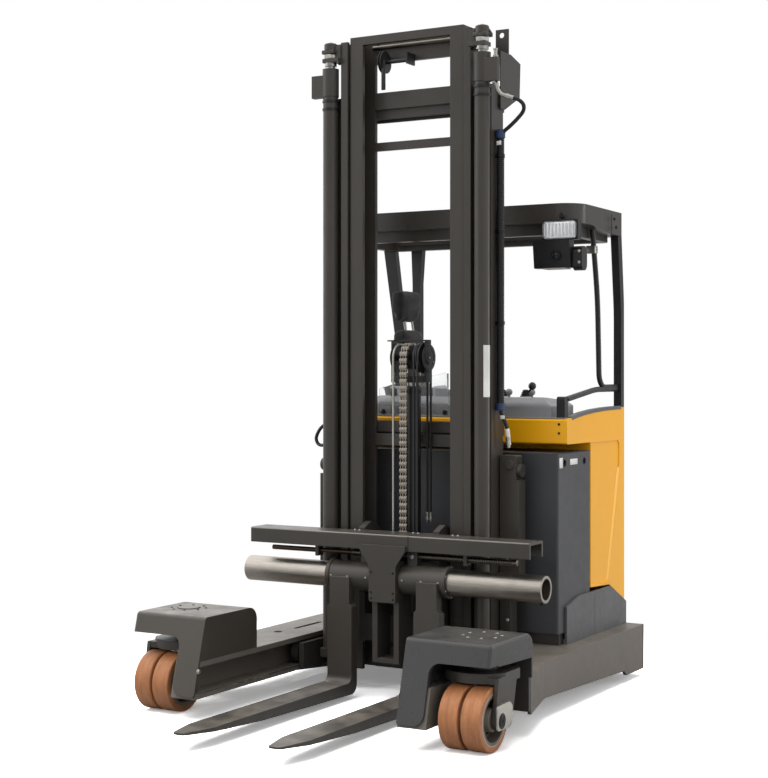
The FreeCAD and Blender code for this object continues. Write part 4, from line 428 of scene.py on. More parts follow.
class Piece:
    """One mesh piece of one material, built up in millimetres in the truck's own frame."""

    def __init__(self, name, look, body="chassis", slot=None, replaced=None):
        """A look is a record slot's name, or a slot with a material of the piece's own."""
        usual_slot, self.material = (look, MATERIALS[look]) if isinstance(look, str) else look
        self.slot = slot or usual_slot
        self.name = name
        self.body = body
        self.replaced = replaced
        self.mesh = bmesh.new()
        PIECES.append(self)

    def box(self, corner, opposite, bevel=1, turn=None):
        """A bevelled block between two corners, turned about its middle by a matrix if given."""
        centre = (Vector(corner) + Vector(opposite)) / 2
        size = Vector(abs(a - b) for a, b in zip(corner, opposite))
        made = bmesh.ops.create_cube(self.mesh, size=1)["verts"]
        place = Matrix.Translation(centre) @ (turn or Matrix()) @ Matrix.Diagonal(size).to_4x4()
        bmesh.ops.transform(self.mesh, matrix=place, verts=made)
        self.soften(made, bevel)

    def soften(self, verts, bevel):
        """Bevels all edges between the given vertices."""
        if bevel:
            edges = list({edge for vert in verts for edge in vert.link_edges})
            bmesh.ops.bevel(self.mesh, geom=edges, offset=bevel, segments=2, profile=0.6, affect="EDGES")

    def prism(self, outline, axis, low, high, bevel=0):
        """A 2-D outline drawn across an axis (0, 1 or 2), pulled from low to high along it."""
        rings = []
        for along in (low, high):
            places = [(*point[:axis], along, *point[axis:]) for point in outline]
            rings.append([self.mesh.verts.new(place) for place in places])
            self.mesh.faces.new(rings[-1])
        self.skin(rings)
        self.soften(rings[0] + rings[1], bevel)

    def skin(self, rings):
        """Faces from each ring of vertices to the next; a ring may be one vertex repeated."""
        count = len(rings[0])
        for a, b in zip(rings, rings[1:]):
            for step in range(count):
                after = (step + 1) % count
                corners = (a[step], a[after], b[after], b[step])
                self.mesh.faces.new(list(dict.fromkeys(corners)))

    def circle(self, centre, side, other, radius, steps):
        """New vertices on a circle, from one direction across its axis towards another."""
        ring = []
        for step in range(steps):
            angle = tau * step / steps
            ring.append(self.mesh.verts.new(centre + (side * cos(angle) + other * sin(angle)) * radius))
        return ring

    def lathe(self, place, axis, profile, steps=24):
        """Turns a profile of (radius, distance along) points round an axis through a place."""
        place = Vector(place)
        axis = Vector(axis).normalized()
        side = axis.orthogonal().normalized() if abs(axis.z) < 0.9 else X
        other = axis.cross(side)
        closed = profile[0] == profile[-1]
        rings = []
        for radius, along in profile[:-1] if closed else profile:
            base = place + axis * along
            if radius == 0:
                rings.append([self.mesh.verts.new(base)] * steps)
            else:
                rings.append(self.circle(base, side, other, radius, steps))
        if closed:
            rings.append(rings[0])
        self.skin(rings)
        for ring in (rings[0], rings[-1]):
            if not closed and ring[0] is not ring[1]:
                self.mesh.faces.new(ring)

    def ring(self, place, axis, inner, outer, width, steps=32):
        """A flat ring with softened rims, which starts at a place and runs along the axis."""
        soft = min(0.8, width / 4, (outer - inner) / 4)
        self.lathe(place, axis, [(inner, width), (outer - soft, width), (outer, width - soft), (outer, soft),
                                 (outer - soft, 0), (inner, 0), (inner, width)], steps)

    def bolt(self, place, axis, size=7):
        """A hexagon head over a washer, with its domed end, standing on a face."""
        seat = size * 0.22
        rim = size * 1.25
        self.lathe(place, axis, [(rim, -0.5), (rim, seat - 0.4), (size * 1.15, seat), (0, seat)], 20)
        self.lathe(place, axis, [(size, seat - 0.5), (size, seat + size * 0.55),
                                 (size * 0.86, seat + size * 0.7), (0, seat + size * 0.72)], 6)

    def button(self, place, axis, radius=5, height=2.5):
        """A round button head or rivet with a socket in its middle."""
        shape = ((1, 0.35), (0.8, 0.8), (0.5, 1), (0.42, 1), (0.36, 0.3), (0, 0.3))
        profile = [(radius, -0.5)] + [(radius * across, height * up) for across, up in shape]
        self.lathe(place, axis, profile, 14)

    def tube(self, points, radius, steps=10, smooth=6):
        """A round tube on a smooth curve through the points, or straight between them if smooth is 0."""
        path = smooth_path(points, smooth) if smooth else [Vector(point) for point in points]
        side = (path[1] - path[0]).orthogonal().normalized()
        rings = []
        for index, point in enumerate(path):
            ahead = path[min(index + 1, len(path) - 1)]
            behind = path[max(index - 1, 0)]
            along = (ahead - behind).normalized()
            side = (side - along * side.dot(along)).normalized()
            rings.append(self.circle(point, side, along.cross(side), radius, steps))
        self.skin(rings)
        self.mesh.faces.new(rings[0])
        self.mesh.faces.new(rings[-1])

    def finish(self):
        """Makes the object, smooth but for sharp edges, and ties it to its body."""
        bmesh.ops.scale(self.mesh, vec=(MM, MM, MM), verts=self.mesh.verts)
        bmesh.ops.recalc_face_normals(self.mesh, faces=self.mesh.faces)
        data = bpy.data.meshes.new(self.name)
        self.mesh.to_mesh(data)
        self.mesh.free()
        data.polygons.foreach_set("use_smooth", [True] * len(data.polygons))
        data.set_sharp_from_angle(angle=radians(35))
        data.materials.append(self.material)
        piece = put_in_scene(self.name, data)
        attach(piece, self.body)
        if self.replaced:
            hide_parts(self.replaced)


def finish_pieces():
    """Makes the objects of the pieces begun so far."""
    for piece in PIECES:
        piece.finish()
    PIECES.clear()


# ---- legs and load wheels
def cover_bolts(side):
    """The ring of eight bolts on a load wheel cover, round its steering joint."""
    centre = joint_place(f"load_steer_{side}")
    centre.z = span(f"wheel_cover_{side}")[1].z
    # the left heads are black, standing in for shaded bolt holes: painted shade
    look = ZINC if side == "right" else BLACK_BOLT
    bolts = Piece(f"cover_bolts_{side}", look, slot="bright_steel")
    for place in on_circle(centre, 2, 75.5, 8, 0.5):
        bolts.button(place, Z, 6.5, 2.4)


def cover_plug():
    """The round plug inside the left cover's ring of bolts, in a dark gap."""
    radius = 47
    centre = joint_place("load_steer_left")
    centre.z = span("wheel_cover_left")[1].z
    plug = Piece("cover_plug_left", ("dark_paint", NODE_MATERIALS["wheel_cover_left"]))
    plug.lathe(centre, Z, [(radius, -0.5), (radius, 1.5), (radius - 1.5, 3), (0, 3)], 48)
    Piece("plug_gap_left", GROOVE).ring(centre - Z, Z, radius + 0.2, radius + 4, 1.6, 48)


def leg_details(side):
    """A rail's end stop with bolts, the edge that rollers scrape, and a painted highlight strip on the deck edge.
    """
    sign = SIDES[side]
    low, high = span(f"chassis_leg_{side}")
    rail = 480
    rail_end = 150
    mouth = low.y
    deck = high.z
    stop = Piece(f"rail_stop_{side}", "dark_paint")
    stop.box((sign * (rail + 2), mouth + 18, 122), (sign * (rail + 78), mouth + 34, 172), 2)
    heads = Piece(f"rail_stop_bolts_{side}", ZINC)
    for outward in (20, 58):
        heads.bolt((sign * (rail + outward), mouth + 18, 147), -Y, 9)
    heads.bolt((sign * rail, mouth + 24, 205), -X * sign, 9)
    edge = Piece(f"rail_edge_{side}", SCRAPED)
    edge.box((sign * (rail - 0.5), mouth + 4, 107), (sign * (rail + 3), rail_end, 112.7), 0.4)
    behind_cover = span(f"wheel_cover_{side}")[1].y + 2
    # a light strip on the deck's inner top edge: a painted highlight
    lip = Piece(f"deck_edge_highlight_{side}", PAINTED_EDGE_HIGHLIGHT)
    lip.box((sign * (rail - 0.4), behind_cover, deck - 4), (sign * (rail + 3.5), rail_end, deck + 0.4), 0.3)


def load_wheel_details(side):
    """The rim ring of a load wheel's outer tread, and the boss and bolts in its hub."""
    out = X * SIDES[side]
    wheel = f"load_wheel_{side[0]}"
    rim_place = axle_end(f"load_tyres_{side}", side) - out * 2.2
    hub_place = axle_end(f"load_hub_{side}", side)
    Piece(f"rim_rings_{side}", CAST_LIGHT, wheel).ring(rim_place, out, 97, 101, 2.6, 48)
    # the boss takes the lightened casting: painted light in the hub's shade
    boss = Piece(f"hub_boss_{side}", ("cast_grey", LIGHTENED_HUB_CASTING), wheel)
    dome = [(0, 0), (56, 0), (54, 20), (46, 34), (45, 54), (42, 58), (0, 58)]
    boss.lathe(hub_place - out * 60, out, dome, 40)
    bolts = Piece(f"hub_bolts_{side}", BLACK_BOLT, wheel, slot="cast_grey")
    for place in on_circle(hub_place - out * 48, 0, 68, 6):
        bolts.button(place, out, 6, 5)


def axle_cap(side):
    """The cast block over the outer end of a load wheel's arm, with its pin in a dark ring."""
    out = X * SIDES[side]
    axle = axle_end(f"turntable_{side}", side)
    body = f"turntable_{side[0]}"
    half = 4 * SIDES[side]
    corners = ((-34, -34), (62, -34), (92, -6), (92, 44), (70, 62), (-34, 58))
    cap = Piece(f"axle_cap_{side}", CAST_LIGHT, body)
    cap.prism(rounded([(axle.y + y, axle.z + z) for y, z in corners], 9), 0, axle.x - half, axle.x + half, 2)
    pin = Piece(f"axle_pin_{side}", BLACK_BOLT, body, slot="cast_grey")
    pin.ring(axle + out * 3.2, out, 23, 30, 1.4)
    pin.lathe(axle + out * 2, out, [(22, 0), (22, 3), (20, 4.5), (6, 4.5), (5, 2), (0, 2)], 32)


# ---- fork carriage
def beam_bolts():
    """Three pairs of bolts on the fork beam's top."""
    high = span("fork_beam")[1]
    bolts = Piece("beam_bolts", ZINC, "fork_carriage")
    for x in (-211, -187, 88, 113, 284, 309):
        bolts.bolt((x, high.y - 22, high.z), Z, 5.2)


def hub_plate_bolts():
    """The bolts down both sides of the hub's face plate."""
    face = span("carriage_hub")[0].y
    bolts = Piece("hub_plate_bolts", BLACK_BOLT, "fork_carriage", slot="cast_grey")
    for sign in SIDES.values():
        for height in (570, 482, 455):
            bolts.button((sign * 55, face, height), -Y, 4.8, 3.2)


def beam_edge_highlight():
    """A painted highlight strip along the fork beam's top front, and the dark joint across the beam."""
    low, high = span("fork_beam")
    corner = 8
    radius = 6
    inward = corner - (corner - radius + 0.3) * cos(radians(45))
    # a light tube on the rounded top front edge: a painted highlight
    edge = Piece("beam_edge_highlight", PAINTED_EDGE_HIGHLIGHT, "fork_carriage")
    edge.tube([(x, low.y + inward, high.z - inward) for x in (low.x + 1, high.x - 1)], radius, 20, smooth=0)
    left, right = 122.5, 126
    joint = Piece("beam_joint", GROOVE, "fork_carriage")
    joint.box((left, low.y + 4, high.z - 0.4), (right, high.y - 1, high.z + 0.3), 0)
    joint.box((left, low.y - 0.3, low.z + 2), (right, low.y + 0.4, high.z - 3), 0)


def sleeve_bolts(side):
    """A fork sleeve's flange bolts, its pinch bolts and the pin through its nut lug."""
    sign = SIDES[side]
    axis = middle("fork_shaft")
    flange = 301
    bolts = Piece(f"sleeve_bolts_{side}", ZINC, f"fork_{side[0]}")
    for place in on_circle((sign * flange, axis.y, axis.z), 0, 64.5, 6, 0.5):
        bolts.button(place, X * sign, 3.6, 3)
    for x in (92, 186, 270):
        bolts.button((sign * x, axis.y - 66.2, axis.z + 2), -Y, 5, 3.2)
    bolts.button((sign * 114, 44, 640), -Y, 11, 3)


def shaft_spout():
    """The grease spout under the fork shaft's right end."""
    low, high = span("fork_shaft")
    place = (high.x - 20, (low.y + high.y) / 2, low.z + 2)
    spout = Piece("shaft_spout", BLACK_BOLT, "fork_carriage", slot="bright_steel")
    spout.lathe(place, -Z, [(6, 0), (6, 6), (4, 9), (4, 14), (0, 14)], 12)


def spindle_details():
    """The fork spindle: thin and smooth up to its step, with a coarse thread beyond it."""
    low, high = span("positioner_spindle")
    axis = middle("positioner_spindle")
    crest = (high.z - low.z) / 2
    root = crest - 3.4
    thin = crest * 0.76
    step_x = -191
    pitch = 11
    thin_end = step_x - low.x
    rod = Piece("spindle_rod", "spindle_steel", "fork_carriage", replaced="positioner_spindle")
    rod.lathe((low.x, axis.y, axis.z), X, [(0, 0), (thin - 1, 0), (thin, 1), (thin, thin_end), (0, thin_end)])
    length = high.x - step_x
    profile = [(0, 0), (crest, 0)]
    for turn in range(int((length - 20) / pitch)):
        start = 6 + pitch * turn
        profile += [(crest, start), (root, start + 1.2), (root, start + 5.4), (crest, start + 6.6)]
    profile += [(crest, length - 1), (crest - 1, length), (0, length)]
    thread = Piece("spindle_thread", THREAD_STEEL, "fork_carriage")
    thread.lathe((step_x, axis.y, axis.z), X, profile)
    thread.button((high.x - 0.5, axis.y, axis.z), X, crest - 2, 2.5)


# ---- mast
CYLINDER_X = 388
CYLINDER_Y = 183


def gland_rings():
    """Gland nuts at the tops of the lift cylinders and of the free-lift cylinder."""
    glands = Piece("lift_glands", "black_paint", "mast_outer")
    for sign in SIDES.values():
        for height in (2640, 2676):
            glands.ring((sign * CYLINDER_X, CYLINDER_Y, height), Z, 34, 38.5, 12, 40)
    centre = middle("free_lift_rod")
    top = span("free_lift_barrel")[1].z
    ring = Piece("free_lift_gland", BLACK_BOLT, "mast_inner")
    ring.ring((centre.x, centre.y, top - 34), Z, 30, 33.5, 22, 40)


def mast_head(side):
    """The bracket, nut and cap that hold a lift rod to the top of a middle upright."""
    sign = SIDES[side]
    rod = Vector((sign * CYLINDER_X, CYLINDER_Y, 0))
    outline = [(316, 2850), (356, 2850), (362, 2898), (428, 2898), (428, 2914), (408, 2944), (316, 2944)]
    bracket = Piece(f"rod_bracket_{side}", "dark_paint", "mast_middle")
    bracket.prism([(sign * x, z) for x, z in outline], 1, 196, 207, 1.5)
    bracket.box((rod.x - 32, 155, 2898), (rod.x + 32, 198, 2916), 2.5)
    nut = Piece(f"rod_nut_{side}", ZINC, "mast_middle")
    nut.lathe(rod + Z * 2877, Z, [(0, 0), (31, 0), (33, 2), (33, 17), (31, 19), (0, 19)], 6)
    nut.lathe(rod + Z * 2944, Z, [(0, 0), (12, 0), (12, 6), (9, 9), (0, 9)], 20)
    cap = Piece(f"rod_cap_{side}", "dark_paint", "mast_middle")
    cap.lathe(rod + Z * 2915, Z, [(0, 0), (30, 0), (30, 28), (26, 32), (0, 32)], 36)


def cross_tubes():
    """The round bars along the mast's head and the outer stage's top cross bar, in light steel as a painted
    highlight streak over painted shade.
    """
    for name, body, radius, end, y, z in (("head_tube", "mast_inner", 11, 222, 290, 2928),
                                          ("outer_tube", "mast_outer", 12, 300, 343.5, 2622)):
        Piece(name, HIGHLIGHT_BAR_STEEL, body).lathe((-end, y, z), X, turned((radius, 2 * end)))


def mast_fittings():
    """The strap by the mast's head pulley, and the port on the right lift cylinder."""
    Piece("pulley_strap", RUBBER, "mast_inner").box((-130, 200, 2716), (-112, 210, 2850), 2)
    necked = [(0, 0), (12, 0), (12, 12), (8, 14), (8, 34), (10, 35), (10, 42), (0, 44)]
    Piece("port_fitting", ZINC, "mast_outer").lathe((453, CYLINDER_Y, 2800), Z, necked, 12)


def crossbar_bolts():
    """Bolts on the cross bars of the three mast stages, at their ends."""
    for stage, face in (("outer", 338), ("middle", 318), ("inner", 288)):
        node = f"{stage}_crossbars"
        top = span(node)[1].z
        heads = Piece(f"{node}_bolts", BLACK_BOLT, f"mast_{stage}", slot="dark_paint")
        for sign in SIDES.values():
            for drop in (24, 62):
                heads.button((sign * 196, face, top - drop), -Y, 6.5, 3.5)


# ---- crosshead
WHEEL_Y = 214
WHEEL_Z = 1507


def over_wheel(radius, front_z, rear_z, steps=22):
    """The (Y, Z) points of a run up in front of the crosshead's wheels, over and down behind."""
    path = [(WHEEL_Y - radius, front_z)]
    for step in range(steps + 1):
        angle = pi * (1 - step / steps)
        path.append((WHEEL_Y + radius * cos(angle), WHEEL_Z + radius * sin(angle)))
    path.append((WHEEL_Y + radius, rear_z))
    return path


def at_even_steps(path, pitch):
    """Places at equal distances along a 2-D path, with the direction of the path at each."""
    places = []
    wanted = 0
    walked = 0
    for start, end in zip(path, path[1:]):
        start = Vector(start)
        leg = Vector(end) - start
        while wanted <= walked + leg.length:
            places.append((start + leg.normalized() * (wanted - walked), leg.normalized()))
            wanted += pitch
        walked += leg.length
    return places


def leaf_chain():
    """The free-lift chain as leaf plates on pins, in place of its plain CAD bar."""
    pitch = 15.3
    chain_x = 12.5
    links = at_even_steps(over_wheel(61, span("lift_chain")[0].z + 8, 1118), pitch)
    chain = Piece("leaf_chain", "chain_steel", "lift_crosshead", replaced="lift_chain")
    for index, ((here, along), (after, _)) in enumerate(zip(links, links[1:])):
        across = Vector((-along.y, along.x))
        centre = (here + after) / 2
        if index % 2:
            half, depth, thick, shifts = pitch / 2 + 6, 5.2, 3.4, (-12.5, 0, 12.5)
        else:
            half, depth, thick, shifts = 7, 6.8, 6.8, (-14.8, -7.4, 0, 7.4, 14.8)
        corners = ((-half, -depth), (half, -depth), (half, depth), (-half, depth))
        outline = rounded([centre + along * u + across * v for u, v in corners], 3, 3)
        for shift in shifts:
            chain.prism(outline, 0, chain_x + shift - thick / 2, chain_x + shift + thick / 2)
    pin = [(0, 0), (2.6, 0), (3.2, 0.8), (3.2, 36), (2.6, 36.8), (0, 36.8)]
    pins = Piece("chain_pins", ZINC, "lift_crosshead", slot="chain_steel")
    for here, _ in links:
        pins.lathe((chain_x - 18.4, here.x, here.y), X, pin, 8)


def over_wheel_lines():
    """Two hoses with end fittings and a pipe, which run over the crosshead beside the chain."""
    radius = 62.5
    hoses = Piece("free_lift_hoses", RUBBER, "lift_crosshead")
    fittings = Piece("hose_fittings", ZINC, "lift_crosshead")
    for x in (66, 83.5):
        hoses.tube([(x, y, z) for y, z in over_wheel(radius, 640, 800)], 5.2, 12, smooth=0)
        for y, z in ((WHEEL_Y - radius, 612), (WHEEL_Y + radius, 770)):
            fittings.lathe((x, y, z), Z, turned((5, 8), (8, 18), (6.5, 44)), 12)
    pipe = Piece("free_lift_pipe", ZINC, "lift_crosshead")
    pipe.tube([(-40, y, z) for y, z in over_wheel(61, 620, 1290)], 5.2, 12, smooth=0)


def crosshead_wheel():
    """The grooved wheel under the second hose, and the cap and bolts at the crosshead's end."""
    grooved = [(20, 0), (64, 0), (64, 2), (57, 5), (57, 12), (64, 15), (64, 17), (20, 17), (20, 0)]
    wheel = Piece("second_hose_wheel", "black_paint", "lift_crosshead")
    wheel.lathe((57.5, WHEEL_Y, WHEEL_Z), X, grooved, 40)
    dished = [(58, 0), (62, 1.5), (60, 4), (44, 4), (42, 2), (30, 2), (28, 6), (16, 7), (0, 7)]
    Piece("crosshead_caps", "black_paint", "lift_crosshead").lathe((105.5, WHEEL_Y, WHEEL_Z), X, dished, 40)
    bolts = Piece("crosshead_bolts", ZINC, "lift_crosshead")
    bolts.button((112, WHEEL_Y, WHEEL_Z), X, 6, 3)
    bolts.button((109, WHEEL_Y + 38, WHEEL_Z - 18), X, 4, 3)


# ---- hoses on the outer mast
def cylinder_hose():
    """The hose from the right lift cylinder's head down the upright, with its elbow."""
    radius = 8.5
    elbow = Piece("cylinder_elbow", ZINC, "mast_outer")
    bend = [(446, 183, 2700), (458, 183, 2692), (462, 184, 2668), (474, 189, 2646), (500, 197, 2633)]
    elbow.tube(bend, radius, 14)
    elbow.lathe((440, CYLINDER_Y, 2700), X, turned((13, 10), (10, 16)), 6)
    elbow.lathe((496, 196, 2635), (26, 7, -9), turned((11.5, 10), (10, 34)), 16)
    hose = Piece("cylinder_hose", RUBBER, "mast_outer")
    bow = [(520, 203, 2627), (545, 213, 2618), (562, 230, 2598), (554, 248, 2573), (522, 260, 2545),
           (482, 266, 2515), (450, 269, 2492), (436, 270, 2460)]
    foot = [(434, 270, 1300), (436, 271, 1270), (446, 278, 1238), (455, 290, 1200), (457, 298, 1160)]
    for route in (bow, foot):
        hose.tube(route, radius, 12)


def hose_guard():
    """The spiral guard on the cylinder hose, with its clamps, ties, blank tags and ferrule."""
    guard_x, guard_y = 433, 270
    profile = []
    height = 1290
    while height < 2498:
        profile += [(15.6, height), (17.8, height + 1.5), (17.8, height + 6.5), (15.6, height + 8)]
        height += 9
    guard = Piece("hose_spiral_guard", RUBBER, "mast_outer")
    guard.lathe((guard_x, guard_y, 0), Z, [(0, profile[0][1])] + profile + [(0, profile[-1][1])], 20)
    clamps = Piece("hose_clamps", BLACK_BOLT, "mast_outer", slot="dark_paint")
    for height in (1650, 2050, 2380):
        clamps.ring((guard_x, guard_y, height), Z, 17, 20, 16, 28)
        clamps.box((410, guard_y - 8, height + 1), (420, guard_y + 8, height + 15), 1.5)
    ties = Piece("hose_ties", BLUE_TIE, "mast_outer")
    ties.ring((guard_x, guard_y, 2466), Z, 17, 21.5, 34, 28)
    ties.ring((guard_x, guard_y, 1276), Z, 14, 21.5, 31, 28)
    tags = Piece("hose_tags", BLANK_PLATE, "mast_outer")
    tags.box((424, 250, 2434), (446, 253, 2452), 1)
    tags.box((436, 262, 1238), (456, 266, 1254), 1)
    tags.lathe((457, 299, 1158), (-0.05, -0.25, 1), [(9.5, 0), (10.5, 1), (10.5, 38), (9.5, 39)], 20)
    ferrule = Piece("hose_ferrule", ZINC, "mast_outer")
    ferrule.lathe((457, 304, 1112), (0, -0.15, 1), turned((8, 12), (12, 26), (10.5, 50)), 14)


def tilt_hose():
    """The short hose loop and its block on the left side of the mast."""
    hose = Piece("left_hose_loop", RUBBER, "mast_outer")
    route = [(-425, 270, 1205), (-455, 280, 1208), (-488, 290, 1197), (-520, 297, 1174), (-541, 300, 1138),
             (-536, 300, 1112), (-516, 298, 1100), (-486, 292, 1103), (-450, 282, 1108), (-425, 272, 1110)]
    hose.tube(route, 8, 12)
    nuts = Piece("left_hose_nuts", ZINC, "mast_outer")
    for height in (1205, 1110):
        nuts.lathe((-428, 271, height), -X, turned((12, 9), (10, 24)), 6)
    Piece("left_valve_block", BLACK_BOLT, "mast_outer").box((-446, 256, 1085), (-412, 286, 1228), 3)


def blank_cylinder_plate():
    """The white plate wrapped on the right lift cylinder; its face is blank."""
    first_angle, turn, steps = -55, 62, 12
    outline = []
    for radius, order in ((35.9, range(steps + 1)), (35.1, reversed(range(steps + 1)))):
        for step in order:
            angle = radians(first_angle + turn * step / steps)
            outline.append((CYLINDER_X + radius * cos(angle), CYLINDER_Y + radius * sin(angle)))
    Piece("cylinder_plate", BLANK_PLATE, "mast_outer").prism(outline, 2, 1335, 1560)


def tower_details():
    """Tilt pin heads and bolts on the reach carriage's towers."""
    low, high = span("towers")
    heads = Piece("tower_pins", ZINC, "reach_carriage")
    for sign in SIDES.values():
        heads.button((sign * high.x, 323, 1011.5), X * sign, 17, 4)
        for height in (290, 360, 620):
            heads.bolt((sign * (high.x - 52), low.y, height), -Y, 7)


# ---- body
def crease_fillet():
    """The rounded step along the body side's sweeping crease."""
    steps = 44
    start = Vector((975, 466))
    corner = Vector((1046, 740))
    end = Vector((1112, 990))
    shares = [step / steps for step in range(steps + 1)]
    curve = [start.lerp(corner, t).lerp(corner.lerp(end, t), t) for t in shares]
    fillet = Piece("crease_fillet", "yellow_paint")
    width, outer, inner = 20, 650.2, 645.1
    parts = 6
    rows = []
    for index, point in enumerate(curve):
        ahead = curve[min(index + 1, steps)] - curve[max(index - 1, 0)]
        across = Vector((-ahead.y, ahead.x)).normalized()
        row = []
        for part in range(parts + 1):
            share = part / parts
            ease = share * share * (3 - 2 * share)
            place = point + across * width * (1 - share) - across * 2
            row.append(fillet.mesh.verts.new((inner + (outer - inner) * ease, place.x, place.y)))
        rows.append(row)
    for a, b in zip(rows, rows[1:]):
        for part in range(parts):
            fillet.mesh.faces.new((a[part], a[part + 1], b[part + 1], b[part]))


def body_details():
    """Cowl bolts, and the charcoal strip along the body side's top edge."""
    front = span("body_shell")[0].y
    bolts = Piece("cowl_bolts", BLACK_BOLT)
    for height in (1211, 1171):
        bolts.button((611, front, height), -Y, 6, 2.5)
    line = [(549, 1238), (620, 1249), (690, 1257), (800, 1266), (930, 1272), (1080, 1275), (1134, 1275)]
    outline = [(y, z + 6) for y, z in line] + [(y, z - 10) for y, z in reversed(line)]
    Piece("top_trim", "grey_plastic").prism(outline, 0, 622, 651.5, 1.5)


def battery_details():
    """Rims round the battery case's lifting holes, its lid seam and two blank plates."""
    low, high = span("battery")
    rims = Piece("battery_rims", BLACK_BOLT, slot="battery_paint")
    for y in (470, 690):
        rims.ring((high.x - 0.8, y, 1041), X, 14, 18, 1.6, 32)
    seam = Piece("battery_seam", GROOVE, slot="battery_paint")
    seam.box((high.x - 0.4, low.y + 3, 1083), (high.x + 0.3, high.y, 1085.5), 0)
    plates = Piece("battery_plates", BLANK_PLATE)
    for first, last, bottom, top in ((414, 450, 1020, 1066), (530, 612, 1030, 1056)):
        plates.box((high.x - 0.3, first, bottom), (high.x + 0.7, last, top), 0.25)


def roof_details():
    """The knob on the roof's front face, and the seams and bolts at the pillars' heads."""
    low, high = span("roof")
    knob = Piece("roof_knob", "black_paint")
    knob.lathe((604, low.y, 2144), -Y, [(15, -0.5), (15, 3), (12, 7), (0, 8)], 24)
    seam = Piece("roof_seams", GROOVE)
    bolts = Piece("roof_bolts", BLACK_BOLT)
    for sign, face in ((1, high.x), (-1, low.x)):
        seam.box((face - sign, 952, 2072), (face + sign * 0.4, 956, 2178), 0)
        for y, z in ((985, 2160), (1006, 2122)):
            bolts.bolt((face, y, z), X * sign, 7)


def lamp_lens():
    """The work lamp's reflector, and its ribbed lens in place of the plain CAD one."""
    low, high = span("lamp_lens")
    plate = Piece("lamp_reflector", REFLECTOR)
    plate.prism(rounded_rectangle(low.xz, high.xz, 5, 10, 5), 1, high.y - 2.5, high.y - 0.5, 0.5)
    lens = Piece("lamp_lens_ribbed", FROSTED, replaced="lamp_lens")
    lens.prism(rounded_rectangle(low.xz, high.xz, 0, 14, 5), 1, low.y, high.y - 3.5, 2)
    ribs = 9
    side_gap = 12
    end_gap = 10
    rib = turned((3, high.z - low.z - 2 * end_gap))
    for index in range(ribs):
        x = low.x + side_gap + (high.x - low.x - 2 * side_gap) * index / (ribs - 1)
        lens.lathe((x, low.y + 0.5, low.z + end_gap), Z, rib, 10)


def lamp_details():
    """The work lamp's bolts, the round camera with its cover, and a hand rail's clamp."""
    front = span("work_lamp")[0].y
    Piece("camera_cover", PALE_COVER).box((520, 520, 1903.5), (630, 585, 1908), 1)
    lens_place = (585, front + 0.5, 1962)
    eye = Piece("camera_eye", DISPLAY)
    eye.ring(lens_place, -Y, 16, 24, 4, 32)
    eye.lathe(lens_place, -Y, [(16, 0), (15, 2), (10, 4.5), (5, 5.6), (0, 6)], 28)
    bolts = Piece("lamp_bolts", ZINC)
    for height in (1930, 1980):
        bolts.button((694, front + 14, height), -Y, 7, 3)
    rail_x = 612
    clamp = Piece("rail_clamp", ZINC)
    clamp.box((rail_x - 20, 844, 1992), (rail_x + 26, 878, 2028), 3)
    clamp.bolt((rail_x + 26, 861, 2010), X, 6)


# ---- cab
def lever_details():
    """The levers' rubber boots, and the ball on a lever's short stem."""
    folds = [(26, 0), (26, 4), (20, 8), (23, 12), (17, 16), (20, 20), (14, 24), (16, 28), (9, 33), (0, 33)]
    boots = Piece("lever_boots", RUBBER)
    for x in (284, 400):
        boots.lathe((x, 600, 1330), Z, folds, 24)
    ball = Piece("lever_ball", "black_paint")
    ball.lathe((433, 600, 1360), Z, [(0, 0), (9, 3), (16, 10), (18, 19), (16, 28), (9, 35), (0, 38)], 24)
    ball.tube([(405, 600, 1340), (418, 600, 1356), (430, 600, 1372)], 5, 10)


def dash_details():
    """The switch panel with its blank display, and the clear screen in its clips."""
    Piece("switch_panel", PALE_PANEL).box((-284, 560, 1300), (-244, 600, 1366), 4)
    Piece("blank_display", DISPLAY).box((-282, 556, 1312), (-246, 561, 1360), 1.5)
    outline = [(-320, 1252), (49, 1252), (49, 1436), (30, 1440), (-300, 1374), (-320, 1366)]
    Piece("clear_screen", SCREEN).prism(outline, 1, 508, 512, 0.6)
    clips = Piece("screen_clips", BLACK_BOLT)
    for x in (-300, -130, 30):
        clips.box((x - 9, 504, 1246), (x + 9, 516, 1266), 1.5)


def swell(pad, pressure=4, frames=20, most=0.013):
    """Blows a pad up with the cloth solver, and keeps every point near its start."""
    rest = [vert.co.copy() for vert in pad.data.vertices]
    cloth_solver = pad.modifiers.new("swell", "CLOTH")
    cloth_solver.settings.use_pressure = True
    cloth_solver.settings.uniform_pressure_force = pressure
    cloth_solver.settings.effector_weights.gravity = 0
    cloth_solver.settings.quality = 5
    cloth_solver.point_cache.frame_start = 1
    cloth_solver.point_cache.frame_end = frames
    for step in range(1, frames + 1):
        scene.frame_set(step)
        bpy.context.view_layer.update()
    bpy.ops.object.modifier_apply(modifier="swell")
    scene.frame_set(1)
    for vert, start in zip(pad.data.vertices, rest):
        move = vert.co - start
        if move.length > most:
            vert.co = start + move.normalized() * most


